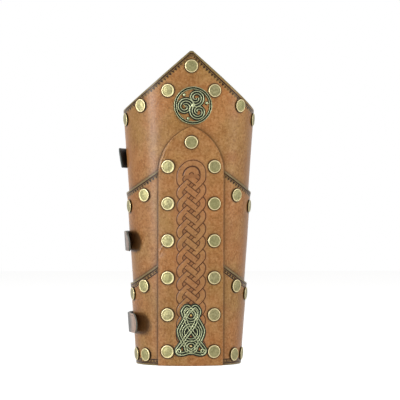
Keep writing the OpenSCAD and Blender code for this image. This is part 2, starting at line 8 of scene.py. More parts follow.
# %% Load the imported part
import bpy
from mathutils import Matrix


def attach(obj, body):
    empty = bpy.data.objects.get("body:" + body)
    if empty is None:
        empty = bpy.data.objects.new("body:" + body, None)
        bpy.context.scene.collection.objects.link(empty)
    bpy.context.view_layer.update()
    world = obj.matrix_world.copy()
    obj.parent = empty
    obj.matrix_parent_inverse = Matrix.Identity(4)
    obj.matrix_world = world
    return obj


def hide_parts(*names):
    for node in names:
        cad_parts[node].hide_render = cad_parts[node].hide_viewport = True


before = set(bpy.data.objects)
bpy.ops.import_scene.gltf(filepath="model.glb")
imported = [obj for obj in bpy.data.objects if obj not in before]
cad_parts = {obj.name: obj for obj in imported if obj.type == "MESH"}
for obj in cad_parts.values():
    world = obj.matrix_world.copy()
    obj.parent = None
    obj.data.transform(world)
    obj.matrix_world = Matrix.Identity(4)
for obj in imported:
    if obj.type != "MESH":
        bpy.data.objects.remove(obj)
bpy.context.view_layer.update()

# %% [markdown]
# A few small tools serve the whole lesson. Colours are written as the sRGB hex codes that a picture editor
# shows, and a function turns them linear, because Blender mixes light in linear values. One function adds
# any node with its settings and its links, so that a material reads like a recipe.

# %% Colour, node and mesh tools
import math
import bpy
import numpy as np
from mathutils import Vector

MM = 0.001
MATH, RANGE, MIX, MARK, NOISE, CURVE, XYZ, SPLIT, BUMP, SHADER, OUTPUT, VECTOR, PLACE = (
    "ShaderNode" + kind for kind in (
        "Math", "MapRange", "Mix", "Attribute", "TexNoise", "FloatCurve", "CombineXYZ", "SeparateXYZ", "Bump",
        "BsdfPrincipled", "OutputMaterial", "VectorMath", "TexCoord"))
STORE, NAMED, ON_POINTS, MOVE = ("GeometryNode" + kind for kind in (
    "StoreNamedAttribute", "InputNamedAttribute", "InstanceOnPoints", "SetPosition"))
TURN_TO = "FunctionNodeAlignRotationToVector"
COLOUR, EASE = {"data_type": "RGBA"}, {"interpolation_type": "SMOOTHSTEP"}
NUMBER, WAY = {"data_type": "FLOAT"}, {"data_type": "FLOAT_VECTOR"}
TIMES, PLUS, MINUS, HIGHER = ({"operation": kind} for kind in ("MULTIPLY", "ADD", "SUBTRACT", "MAXIMUM"))


def srgb(code):
    """Linear RGBA of an sRGB hex code."""
    parts = [int(code[i:i + 2], 16) / 255 for i in (0, 2, 4)]
    return (*[p / 12.92 if p <= 0.04045 else ((p + 0.055) / 1.055) ** 2.4 for p in parts], 1.0)


def add(tree, kind, inputs=(), points=(), out=0, **settings):
    """Adds a node with its settings, sets or links its inputs in order or by name, and gives an output."""
    node = tree.nodes.new(kind)
    for name, value in settings.items():
        setattr(node, name, value)
    if points:
        coloured = hasattr(node, "color_ramp")
        line = node.color_ramp.elements if coloured else node.mapping.curves[0].points
        for stop, (at, value) in ((line[0], points[0]), (line[1], points[-1])):
            if coloured:
                stop.position, stop.color = at, srgb(value)
            else:
                stop.location = at, value
        for at, value in points[1:-1]:
            if coloured:
                line.new(at).color = srgb(value)
            else:
                line.new(at, value)
        if not coloured:
            for stop in line:
                stop.handle_type = "VECTOR"
            node.mapping.use_clip = False
            node.mapping.update()
    places = [socket for socket in node.inputs if socket.enabled]
    names = {socket.name: socket for socket in reversed(places)}
    for key, value in inputs.items() if isinstance(inputs, dict) else enumerate(inputs):
        socket = names[key] if isinstance(key, str) else places[key]
        if isinstance(value, (bpy.types.NodeSocket, list)):
            for source in reversed(value) if isinstance(value, list) else [value]:
                tree.links.new(source, socket)
        else:
            socket.default_value = srgb(value) if socket.type == "RGBA" else value
    results = [socket for socket in node.outputs if socket.enabled]
    if out is None or not results:
        return node
    return results[out] if isinstance(out, int) else node.outputs[out]


def new_mesh(name, points, faces, values=None, edges=(), smooth=True):
    """An object from points in millimetres, with one named number or vector for each point."""
    mesh = bpy.data.meshes.new(name)
    mesh.from_pydata((np.asarray(points, float) * MM).tolist(), list(edges), faces)
    for key, value in (values or {}).items():
        value = np.asarray(value, float)
        vector = value.ndim == 2
        layer = mesh.attributes.new(key, "FLOAT_VECTOR" if vector else "FLOAT", "POINT")
        layer.data.foreach_set("vector" if vector else "value", value.ravel())
    mesh.shade_smooth() if smooth else mesh.shade_flat()
    mesh.update()
    made = bpy.data.objects.new(name, mesh)
    bpy.context.scene.collection.objects.link(made)
    return made


def finish_piece(piece, slot, *nodes):
    """Gives a finished piece its body and hides the CAD nodes it stands for. Its slot is not used."""
    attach(piece, "guard")
    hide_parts(*nodes)
    triangles = sum(len(p.vertices) - 2 for p in piece.data.polygons)
    print(f"{piece.name}: {triangles} triangles")


def wear(material, *pieces):
    """Makes a material the only one of each piece."""
    for piece in pieces:
        piece.data.materials.clear()
        piece.data.materials.append(material)


print("tools: srgb, add, new_mesh, finish_piece, wear")

# %% [markdown]
# ## The camera
# The photograph was taken from about two metres with a long lens, level, and three degrees to the left of
# the spine. A long lens flattens the view, which is why both sides of the guard look almost parallel.

# %% The camera
camera_far, frame_width, sensor = 2.0, 0.3433, 36
camera_turn = math.radians(-3)
target = Vector((0.0097, 0, 0.1399))
camera_data = bpy.data.cameras.new("photo_camera")
camera_data.sensor_width = sensor
camera_data.lens = sensor * camera_far / frame_width
camera = bpy.data.objects.new("photo_camera", camera_data)
bpy.context.scene.collection.objects.link(camera)
away = Vector((math.sin(camera_turn), -math.cos(camera_turn), 0))
side = Vector((math.cos(camera_turn), math.sin(camera_turn), 0))
target = side * target.x + Vector((0, 0, target.z))
camera.location = target + away * camera_far
camera.rotation_euler = (-away).to_track_quat("-Z", "Y").to_euler()
bpy.context.scene.camera = camera
bpy.context.scene.view_settings.view_transform = "Standard"
print("lens:", round(camera_data.lens, 1), "mm")

# %% [markdown]
# ## The shape of the wall
# The lames wrap a forearm, so in plan the wall is an oval of four arcs, and it widens like a cone towards
# the elbow. The CAD source describes it by a facing, which is a turn from the front, and a height. The
# same few functions are repeated here, so that new leather lands exactly on the solid one.

# %% The oval wall and its layers
guard_h, shoulder_drop, shoulder_r, wrist_r = 265.8, 48.8, 46.0, 31.2
side_centre, front_centre, back_gap = 10.0, 24.0, 36.0
leather_t, step = 1.8, 1.85
shoulder_z = guard_h - shoulder_drop
taper = (shoulder_r - wrist_r) / shoulder_z
lean = math.atan(taper)
centre_span = math.hypot(side_centre, front_centre)
join = math.degrees(math.atan(side_centre / front_centre))


def side_r(z, layer=0):
    """Radius of the side arcs at height z, on the outside of a layer."""
    return wrist_r + taper * np.asarray(z, float) + layer * step


def oval(f, r):
    """x and y at facing f on the oval whose side arcs have radius r."""
    s, c = np.sin(np.radians(f)), np.cos(np.radians(f))
    limit, big = math.cos(math.radians(join)), r + centre_span
    front, back = c > limit, c < -limit
    x = np.where(front | back, big * s, np.sign(s) * side_centre + r * s)
    y = np.where(front, front_centre - big * c, np.where(back, -front_centre - big * c, -r * c))
    return x, y


def facing_at(x, r):
    """Facing of the front wall at sideways distance x."""
    x, big = np.asarray(x, float), r + centre_span
    near = np.abs(x) < big * math.sin(math.radians(join))
    front = np.arcsin(np.clip(x / big, -1, 1))
    flank = np.sign(x) * np.arcsin(np.clip((np.abs(x) - side_centre) / r, -1, 1))
    return np.degrees(np.where(near, front, flank))


def back_facing(r):
    """Facing at which the wall ends, at the opening down the back."""
    return 180 - np.degrees(np.arcsin(back_gap / 2 / (r + centre_span)))


def facing_round(length, r):
    """Facing at a distance round the wall from the middle of the front."""
    length = np.asarray(length, float)
    far, big = np.abs(length), r + centre_span
    front, flank = big * math.radians(join), r * math.radians(180 - 2 * join)
    f = np.where(far < front, far / big, np.where(
        far < front + flank, math.radians(join) + (far - front) / r,
        math.radians(180 - join) + (far - front - flank) / big))
    return np.sign(length) * np.degrees(f)


def round_length(f, r):
    """Distance round the wall from the middle of the front to facing f."""
    far, big = np.radians(np.abs(f)), r + centre_span
    a, b = math.radians(join), math.radians(180 - join)
    length = np.where(far < a, far * big, np.where(
        far < b, a * big + (far - a) * r, a * big + (b - a) * r + (far - b) * big))
    return np.sign(f) * length


def outward(f):
    """Direction straight out of the leaning wall at facing f."""
    a = np.radians(np.asarray(f, float))
    return np.stack([math.cos(lean) * np.sin(a), -math.cos(lean) * np.cos(a),
                     np.full(a.shape, -math.sin(lean))], -1)


print("wall leans", round(math.degrees(lean), 2), "degrees; arcs join at facing", round(join, 2))

# %% [markdown]
# ## Where the rivets sit
# Every cap needs its facing, its height, the layer it sits on and the innermost layer it grips. They are
# listed before the leather is made, because leather sinks a little under each cap that was hammered down.

# %% Rivet places
spine_top = guard_h - 64.2
spine_w, arch_r, spine_offset = 55.4, 40.3, 12.6
arch_z = spine_top - math.sqrt(arch_r ** 2 - spine_offset ** 2)
# The spine's rivets stand in even rows, and the top edges of the lower lames lie between two rows
spine_rivet_z, spine_rivet_x, spine_pairs, top_row_drop = 12.2, 19.5, 6, 33.65
pitch = (spine_top - top_row_drop - spine_rivet_z) / (spine_pairs - 1)
middle_top, middle_slope = spine_rivet_z + 5.16 * pitch, 0.73
lower_top, lower_slope = spine_rivet_z + 2.61 * pitch, 0.75
level_half, lame_lap, edge_air, step_run = 17.0, 22.0, 0.5, 5.0
elbow_slope = shoulder_drop / (side_centre + shoulder_r)
side_facing = 76.0
# How far rivets lie below the arch, the point and the edges, and how far out to each side
arch_drop, point_drop, inner_x, inner_drop, shoulder_x, upper_drop = 13.3, 13.7, 19.6, 17, 42, 9.6
flank_x, middle_drop, lower_drop, wrist_x, wrist_z = 39, 12.8, 9.8, 37.4, 8.9


def sloped(top, slope, level=level_half):
    """A top edge that is level across the front and falls away to both sides."""
    return lambda x: top - slope * np.maximum(0, np.abs(x) - level)


elbow_edge = sloped(guard_h, elbow_slope, 0)
middle_edge, lower_edge = sloped(middle_top, middle_slope), sloped(lower_top, lower_slope)


def side_height(top, slope, layer):
    """Height at which a sloped edge reaches the side of the oval."""
    return (top - slope * (side_centre + wrist_r + layer * step - level_half)) / (1 + slope * taper)


def inner_layer(x, z):
    """The innermost layer of leather at a place on the front."""
    return 0 if z > middle_edge(x) - lame_lap else 1 if z > lower_edge(x) - lame_lap else 2


def spine_layer(z):
    """The layer that the spine lies on at a height, since it climbs over the lames."""
    return 3 if z < lower_top + edge_air else 2 if z < middle_top + edge_air else 1


def front_place(x, z, outer, inner):
    """A rivet's facing, height, outer layer and inner layer, for a sideways distance x."""
    return (float(facing_at(x, side_r(z, outer))), float(z), outer, inner)


def side_x(layer, z):
    """Sideways distance of a flank rivet."""
    return side_centre + side_r(z, layer) * math.sin(math.radians(side_facing))


def lame_row(edge, side_z, drop, across, outer, inner):
    """Four rivets below a lame's edge: two at the front, and two on the flanks, which it meets at side_z."""
    flank_z = float(edge(side_x(outer, side_z)) - drop)
    fronts = [front_place(x, edge(x) - drop, outer, inner) for x in (-across, across)]
    return fronts + [(f, flank_z, outer, inner) for f in (-side_facing, side_facing)]


spine_places = [front_place(x, z, spine_layer(z), inner_layer(x, z))
                for z in (spine_rivet_z + k * pitch for k in range(spine_pairs))
                for x in (-spine_rivet_x, spine_rivet_x)]
spine_places.append(front_place(0, spine_top - arch_drop, 1, 0))
upper_places = [front_place(0, guard_h - point_drop, 0, 0)]
upper_places += [front_place(x, elbow_edge(x) - inner_drop, 0, 0) for x in (-inner_x, inner_x)]
upper_places += lame_row(elbow_edge, shoulder_z, upper_drop, shoulder_x, 0, 0)
middle_places = lame_row(middle_edge, side_height(middle_top, middle_slope, 1), middle_drop, flank_x, 1, 0)
lower_places = lame_row(lower_edge, side_height(lower_top, lower_slope, 2), lower_drop, flank_x, 2, 1)
wrist_places = lame_row(lambda x: wrist_z, 0, 0, wrist_x, 2, 2)
print("dress rivets:", sum(map(len, (spine_places, upper_places, middle_places, lower_places, wrist_places))))

# %% [markdown]
# ## Making a leather plate
# Each lame is one cut piece of thick leather, bent to the oval. Solidify could thicken a bent grid, but its
# edges would stay sharp. Real edges are shaved and rubbed round, so this mesh has an outer and an inner
# skin that curve into each other over the last part of a millimetre. The same cell notes for each point
# how far it lies from the cut edge, since burnishing, stamping and wear all follow the edges.

# %% Rounded plates and the marks they carry
round_over = 0.7
edge_rows = np.array([0, 0.03, 0.12, 0.3, 0.5, 0.7, 1.4])
wave_sizes = (62, 44, 31, 23)
seat_depth, seat_r, seat_fade = 0.15, 5, 3


def spread(low, high, spacing, margin=edge_rows):
    """Places from low to high: close together in the rounded edges and evenly spaced between them."""
    flat = high - low - 2 * margin[-1]
    count = max(2, round(flat / spacing))
    middle = low + margin[-1] + np.arange(1, count) / count * flat
    return np.concatenate([low + margin, middle, high - margin[::-1]])


def rounding(edge):
    """Share of the full thickness at a distance from the cut edge."""
    return np.sqrt(1 - (1 - np.clip(edge, 0, round_over) / round_over) ** 2)


def smooth(t):
    """A soft step from 0 to 1."""
    t = np.clip(t, 0, 1)
    return t * t * (3 - 2 * t)


def ripple(length, z, seed):
    """Slow unevenness of hand-formed leather, from 0 to 1."""
    rng = np.random.default_rng(seed)
    total = np.zeros(np.shape(length))
    for size in wave_sizes:
        turn, phase = rng.uniform(0, 2 * math.pi, 2)
        across = length * math.cos(turn) + z * math.sin(turn)
        total += size / wave_sizes[0] * np.sin(across * 2 * math.pi / size + phase)
    return 0.5 + 0.5 * np.tanh(total / 1.2)


def sunk(near, edge, uneven, waves):
    """How far the outer face sinks: under each cap, and in slow waves that die out at the edges."""
    return seat_depth * (1 - smooth((near - seat_r) / seat_fade)) + uneven * waves * smooth(edge / 8)


def two_skins(f, z, r, edge, sinks):
    """Outer and inner skin of a bent plate whose outer face has radius r before it sinks."""
    thick = rounding(edge)
    depths = (leather_t / 2 * (1 - thick) + sinks * thick, leather_t / 2 * (1 + thick))
    return [np.stack([*oval(f, r - depth), z], -1) for depth in depths]


print("edges are rounded over", round_over, "mm")

# %% A closed plate of two skins
def plate(name, outer, inner, marks, row_pick=None, column_pick=None):
    """A closed plate of two skins that share their border. The inner skin may skip rows and columns."""
    rows, columns = outer.shape[:2]
    row_pick, column_pick = row_pick or list(range(rows)), column_pick or list(range(columns))
    front = np.arange(rows * columns).reshape(rows, columns)
    back = front.copy()
    picked = [(r, c) for r in row_pick[1:-1] for c in column_pick[1:-1]]
    for k, (r, c) in enumerate(picked):
        back[r, c] = rows * columns + k
    a, b, c, d = front[:-1, :-1], front[:-1, 1:], front[1:, 1:], front[1:, :-1]
    faces = np.stack([a, b, c, d], -1).reshape(-1, 4).tolist()
    for r0, r1 in zip(row_pick, row_pick[1:]):
        for c0, c1 in zip(column_pick, column_pick[1:]):
            low = range(c0, c1) if r0 == 0 else [c0]
            right = range(r0, r1) if c1 == columns - 1 else [r0]
            high = range(c1, c0, -1) if r1 == rows - 1 else [c1]
            left = range(r1, r0, -1) if c0 == 0 else [r1]
            loop = [back[r0, k] for k in low] + [back[k, c1] for k in right]
            loop += [back[r1, k] for k in high] + [back[k, c0] for k in left]
            faces.append([int(k) for k in reversed(loop)])
    points = np.concatenate([outer.reshape(-1, 3), [inner[r, c] for r, c in picked]])
    values = {}
    for key, mark in marks.items():
        flat = mark.reshape(rows * columns, -1)
        tail = np.array([mark[r, c] for r, c in picked]).reshape(len(picked), -1)
        values[key] = np.concatenate([flat, tail]).squeeze()
    values["flesh"] = np.concatenate([np.zeros(rows * columns), np.ones(len(picked))])
    return new_mesh(name, points, faces, values)


print("tools for plates: spread, sunk, two_skins, plate")

# %% [markdown]
# ## The three lames
# A lame is a strip of armour that overlaps its neighbour. The upper lame ends in a point over the elbow,
# and the middle and lower ones have a short level edge at the front and slope away to the sides. The grid
# runs round the arm in columns and up it in rows, so that every edge falls exactly on a row of points.

# %% Lame edges
# The straps' heights, the facings at which they end and start, and the reach of their black dye stain and of
# the painted shadow of the tails
strap_heights, strap_tips, strap_roots, stain_and_shadow_r = (35.5, 105.0, 176.0), (-43, -54, -88), (127, 131, 134), 8.0
column_gap, plate_reach, height_rows, far_off, wave_depth = 1.7, 150, 52, 40.0, 0.16
# Painted shade beside the spine is narrower on its left than on its right, as if lit from the left. The
# flanks get painted shade from one facing on, and the sides of a top edge flare beyond a sideways distance
left_shade_scale, right_shade_scale, edge_shade_scale = 1.5, 0.75, 0.8
flank_shade_f, flank_shade_run, drift_run = 48, 24, 20
flare_x, flare_x_run, flare_end_f, flare_end_run, flare_reach = 31, 7, 140, 12, 6


def edge_on(f, layer, edge):
    """Height at which a column at facing f meets a sloped edge. Behind the arm the edge is level."""
    turned = np.clip(f, -90, 90)
    z = np.full(np.shape(turned), float(edge(0.0)))
    for _ in range(30):
        z = edge(oval(turned, side_r(z, layer))[0])
    return z


def nearness(f, z, places, outer):
    """Distance in millimetres to the nearest rivet that sits on this layer."""
    near = np.full(np.shape(z), far_off)
    for rivet_f, rivet_z, rivet_layer, _ in places:
        if rivet_layer == outer:
            r = side_r(rivet_z, outer)
            near = np.minimum(near, np.hypot(round_length(f, r) - round_length(rivet_f, r), z - rivet_z))
    return near


def beside(f, z, r, next_edge):
    """Distance to the spine, the next lame and the straps, which sets painted shade and, by the straps, dye
    stain.
    """
    x = np.abs(oval(np.clip(f, -90, 90), r)[0])
    # Painted shade lies beside the spine: its distance counts more on the left and less on the right, as if
    # lit from the left
    gap = np.where(z > arch_z, np.hypot(x + spine_offset, z - arch_z) - arch_r, x - spine_w / 2)
    gap = np.where(np.abs(f) < 90, gap * np.where(f < 0, left_shade_scale, right_shade_scale), far_off)
    if next_edge:
        # A painted contact shadow lies on the leather just above the edge of the next lame
        gap = np.where(z > next_edge(x), np.minimum(gap, edge_shade_scale * (z - next_edge(x))), 0)
    # Round each strap the leather is darkened by its dye, and past each tail's end by a painted shadow of the
    # tail
    for height, tip_f, root_f in zip(strap_heights, strap_tips, strap_roots):
        past = np.maximum(np.where(f < 0, f - tip_f, root_f - f) * np.radians(r) + stain_and_shadow_r, 0)
        gap = np.minimum(gap, np.hypot(past, z - height) - stain_and_shadow_r)
    return np.clip(gap, 0, far_off)


print("straps lie at heights of", strap_heights, "mm")

# %% One bent lame
def lame(name, layer, low_edge, high_edge, places, seed, flare=0.5, next_edge=None, double=False, drift=0):
    """One bent lame with its marks: edge, stamp, along, rivet and beside are distances in millimetres.

    A double border runs along the foot too. One stamped by hand may drift in from the edge on the right side.
    """
    u = spread(-1, 1, column_gap / plate_reach, edge_rows / plate_reach)
    f_flat = u * back_facing(side_r(100, layer))
    low, high = edge_on(f_flat, layer, low_edge), edge_on(f_flat, layer, high_edge)
    along_edge = round_length(f_flat, side_r(high, layer))
    slope = np.gradient(high, along_edge)
    longer = np.sqrt(1 + slope ** 2)
    z = np.stack([low + k for k in edge_rows], 0)
    top = np.stack([high - k * longer for k in edge_rows[::-1]], 0)
    flat = [z[-1] + k * (top[0] - z[-1]) for k in np.linspace(0, 1, height_rows)]
    z = np.concatenate([z[:-1], flat, top[1:]])
    r = side_r(z, layer)
    f = u * back_facing(r)
    length = round_length(f, r)
    drop = (high - z) / longer
    side_gap = (back_facing(r) - np.abs(f)) * np.radians(r + centre_span)
    edge = np.minimum(np.minimum(drop, z - low), side_gap)

    # The stamped border runs down both back edges and over the top, and round the foot where it is asked for
    track = np.concatenate([[0], np.cumsum(np.hypot(np.diff(along_edge), np.diff(high)))])
    track -= np.interp(0, f_flat, track)
    stamp = np.minimum(drop, side_gap)
    along = np.where(side_gap < drop, z, track + (high - z) * np.abs(slope) / longer * np.sign(f))
    if double:
        along = np.where(z - low < stamp, length, along)
        stamp = np.minimum(stamp, z - low)
    stamp = stamp - drift * smooth(f / drift_run)

    # The sides of the top edge flare a little over the lame beneath
    near = nearness(f, z, places, layer)
    sinks = sunk(near, edge, wave_depth, ripple(length, z, seed))
    width = smooth((np.abs(oval(np.clip(f, -90, 90), r)[0]) - flare_x) / flare_x_run)
    width *= smooth((flare_end_f - np.abs(f)) / flare_end_run)
    lift = flare * width * np.clip(1 - drop / flare_reach, 0, 1) ** 2
    # The rivet distance, the distance to overlying leather and the flank share set painted shade in the
    # colour
    marks = {"edge": edge, "stamp": stamp, "along": along, "rivet": near,
             "beside": beside(f, z, r, next_edge), "double": np.full(z.shape, float(double)),
             "flank": smooth((np.abs(f) - flank_shade_f) / flank_shade_run)}
    return plate(name, *two_skins(f, z, r + lift, edge, sinks), marks)


# Each lame is named with its layer, its edges, its rivets and the seed of its unevenness
lames = [lame("upper_leather_lame", 0, lambda x: middle_edge(x) - lame_lap, elbow_edge, upper_places, 11,
              flare=0, next_edge=middle_edge, drift=0.8),
         lame("middle_leather_lame", 1, lambda x: lower_edge(x) - lame_lap, middle_edge, middle_places, 12,
              next_edge=lower_edge),
         lame("lower_leather_lame", 2, lambda x: 0 * x, lower_edge, lower_places + wrist_places, 13,
              double=True)]
for piece, node in zip(lames, ("upper_lame", "middle_lame", "lower_lame")):
    finish_piece(piece, "tan_leather", node)

# %% [markdown]
# ## The tooled spine
# The spine is a long strip with a pointed arch at its top, riveted over the lames. A plait of four strands
# is cut into it with a swivel knife and bevelled, so each ribbon seems to pass over and under the next. The
# plait follows a rule: four equal waves, each a quarter of a turn behind the other, closed at the top by two
# round arches. The rule is worked out here for every point of a fine mesh, and its depth goes into the shape
# itself, because light that rakes across real tooling shows every edge.

# %% The plait as a height rule
strands, knot_half, knot_turn, ribbon_w, cut_w = 4, 9.75, 44.0, 4.9, 0.74
knot_at, knot_arch, knot_low, knot_skew = 147.0, 161.0, 16.0, 0.12
overtone, middle_share, arch_step, arch_inset, nowhere = 0.06, 0.38, 3, 5.4, 99


def wave(turn):
    """Sideways place of a strand, from -1 to 1, and its change with the turn."""
    place, change = np.sin(turn) - overtone * np.sin(3 * turn), np.cos(turn) - 3 * overtone * np.cos(3 * turn)
    return place / (1 + overtone), change / (1 + overtone)


def plait(x, z):
    """Share of the cut lines, of the sunken gaps and of the whole tooled field at each point of the spine."""
    level = z - knot_skew * x
    above = np.maximum(level - knot_arch, 0)
    reach, over = [], []
    in_middle = np.abs(x) < middle_share * knot_half
    for k in range(strands):
        place, change = wave(2 * math.pi * ((level - knot_at) / knot_turn + k / strands) + math.pi / 2)
        slope = knot_half * change * 2 * math.pi / knot_turn
        top = knot_arch if k % 2 else knot_arch - arch_step
        reach.append(np.where(level < top, np.abs(x - knot_half * place) / np.sqrt(1 + slope ** 2), nowhere))
        over.append((slope > 0) ^ in_middle)
    for radius, foot in ((knot_half, knot_arch - arch_step), (knot_half - arch_inset, knot_arch)):
        reach.append(np.where(level >= foot, np.abs(np.hypot(x, above) - radius), nowhere))
        over.append(np.full(x.shape, True))
    reach, over = np.array(reach), np.array(over)
    over_near, under_near = np.where(over, reach, nowhere).min(0), np.where(over, nowhere, reach).min(0)
    half = ribbon_w / 2
    line_over, line_under = (1 - smooth((np.abs(near - half) - cut_w * 0.3) / (cut_w * 0.4))
                             for near in (over_near, under_near))
    lines = np.maximum(line_over, np.where(over_near < half, 0, line_under))
    outside = np.hypot(x, above) - knot_half
    gaps = smooth((np.minimum(over_near, under_near) - half) / 0.6) * (1 - smooth((outside - 0.4) / 1.0))
    field = smooth((level - knot_low) / 1.0) * (1 - smooth((outside - half - 0.6) / 2.0))
    return lines * field, gaps * field, field


print(strands, "strands,", knot_turn, "mm to a turn")

# %% The spine
fine_half, fine_gap, spine_rows = 13.2, 0.33, 440
cut_depth, gap_depth, spine_wave = 0.36, 0.16, 0.1


def thinned(count, first, stride):
    """Rows or columns that the inner skin keeps: all of the edge's main ones, and few between."""
    return [0, 3, 6, *range(first, count - 8, stride), count - 7, count - 4, count - 1]


def spine_mesh():
    """The spine with its plait cut in: fine where it is tooled and plain along its borders."""
    half = spine_w / 2
    fine = np.arange(-fine_half, fine_half + 0.01, fine_gap)
    border = half - edge_rows
    right = np.concatenate([np.linspace(fine_half, border[-1], 7)[1:], border[::-1][1:]])
    x_flat = np.concatenate([-right[::-1], fine, right])
    out = np.abs(x_flat) + spine_offset
    arch = np.sqrt(np.maximum(arch_r ** 2 - out ** 2, 0)) + arch_z
    top = np.where(np.abs(x_flat) >= half - 1e-9, arch_z, arch)
    rise = np.clip((top - arch_z) / out, 0.2, 9)
    longer = np.minimum(np.sqrt(1 + 1 / rise ** 2), 3)
    low = edge_rows[:, None] + 0 * top
    high = top - edge_rows[::-1, None] * longer
    share = np.linspace(0, 1, spine_rows)[:, None]
    z = np.concatenate([low[:-1], low[-1] + share * (high[0] - low[-1]), high[1:]])
    x = np.broadcast_to(x_flat, z.shape)
    layer = 3 - smooth((z - lower_top - edge_air) / step_run) - smooth((z - middle_top - edge_air) / step_run)
    r = side_r(z, layer)
    f = facing_at(x, r)
    arch_gap = np.where(z > arch_z, arch_r - np.hypot(np.abs(x) + spine_offset, z - arch_z), far_off)
    edge = np.maximum(np.minimum(np.minimum(half - np.abs(x), z), arch_gap), 0)
    edge[:, [0, -1]] = 0
    edge[[0, -1], :] = 0
    lines, gaps, field = plait(x, z)
    near = np.full(z.shape, far_off)
    for rivet_f, rivet_z, _, _ in spine_places:
        at = float(oval(rivet_f, side_r(rivet_z, spine_layer(rivet_z)))[0])
        near = np.minimum(near, np.hypot(x - at, z - rivet_z))
    sinks = sunk(near, edge, spine_wave, ripple(x, z, 14)) + cut_depth * lines + gap_depth * gaps
    away = np.full(z.shape, far_off)
    marks = {"edge": edge, "stamp": away, "along": z, "rivet": near, "beside": away,
             "cut": lines, "gap": gaps, "field": field}
    return plate("tooled_leather_spine", *two_skins(f, z, r, edge, sinks), marks,
                 thinned(z.shape[0], 12, 8), thinned(z.shape[1], 9, 6))


spine_piece = spine_mesh()
finish_piece(spine_piece, "tan_leather", "spine")

# %% [markdown]
# ## Rivets
# Each rivet is a pressed brass cap with a rolled rim, a shank through the leather and a burr hammered on at
# the back. More than forty of them sit square to the wall, so they are a job for Geometry Nodes: a tree
# turns a profile into a cap, and sets a cap, a shank and a burr on every point that it is given. Each
# point carries the direction that is straight out of the wall and the thickness that the rivet grips.

# %% A tree that turns a shape
def new_tree(name, *inputs):
    """A geometry tree with a geometry socket each way and more inputs, each a name and a kind."""
    tree = bpy.data.node_groups.new(name, "GeometryNodeTree")
    tree.interface.new_socket("Geometry", in_out="INPUT", socket_type="NodeSocketGeometry")
    tree.interface.new_socket("Geometry", in_out="OUTPUT", socket_type="NodeSocketGeometry")
    for label, kind in inputs:
        tree.interface.new_socket(label, in_out="INPUT", socket_type="NodeSocket" + kind)
    return tree, add(tree, "NodeGroupInput", out=None).outputs


def turned(tree, around, rings, radius, height, wide, tall):
    """A closed shape turned about Z: radius and height follow drawn profiles from its top to its base."""
    grid = add(tree, "GeometryNodeMeshGrid", (1.0, 1.0, around + 1, rings))
    place = add(tree, "GeometryNodeInputPosition")
    turn = add(tree, MATH, (add(tree, SPLIT, (place,), out="X"), -2 * math.pi), **TIMES)
    way = add(tree, MATH, (add(tree, SPLIT, (place,), out="Y"), 0.5), **PLUS)
    out, up = (add(tree, MATH, (add(tree, CURVE, {"Value": way}, profile), size), **TIMES)
               for profile, size in ((radius, wide), (height, tall)))
    circle_way = tuple(add(tree, MATH, (turn,), operation=kind) for kind in ("COSINE", "SINE"))
    flat = add(tree, VECTOR, (add(tree, XYZ, circle_way), out), operation="SCALE")
    spot = add(tree, VECTOR, (flat, add(tree, XYZ, {"Z": up})), **PLUS)
    kept = add(tree, STORE, {"Geometry": grid, "Name": "way", "Value": way}, **NUMBER)
    bent = add(tree, MOVE, {"Geometry": kept, "Position": spot})
    return add(tree, "GeometryNodeMergeByDistance", {"Geometry": bent, "Distance": 0.00001})


def finish_tree(tree, shape, material):
    """Ends a tree: instances made real, shaded smooth and given their material."""
    real = add(tree, "GeometryNodeRealizeInstances", (shape,))
    shaded = add(tree, "GeometryNodeSetShadeSmooth", {"Geometry": real})
    coloured = add(tree, "GeometryNodeSetMaterial", {"Geometry": shaded, "Material": material})
    add(tree, "NodeGroupOutput", (coloured,))
    return tree


print("tools for trees: new_tree, turned, finish_tree")

# %% A tree that rivets leather
# Each profile is drawn as places on the way from the top's middle, over the rim, to the middle of the base
cap_radii = [(0, 0), (0.25, 0.42), (0.44, 0.76), (0.5, 0.82), (0.56, 0.9), (0.63, 0.965), (0.69, 1),
             (0.75, 1), (0.81, 0.97), (1, 0)]
cap_heights = [(0, 0.66), (0.25, 0.6), (0.44, 0.48), (0.5, 0.55), (0.56, 0.59), (0.63, 0.52), (0.69, 0.36),
               (0.75, 0.1), (0.81, 0), (1, 0)]
burr_radii = [(0, 0), (0.15, 0.36), (0.3, 0.44), (0.4, 0.62), (0.7, 1), (0.8, 1), (1, 0)]
burr_heights = [(0, -1), (0.15, -0.95), (0.3, -0.7), (0.4, -0.62), (0.7, -0.45), (0.8, 0), (1, 0)]
shank_r, burr_r, burr_h, tone_seed = 1.5, 4.0, 0.9, 7


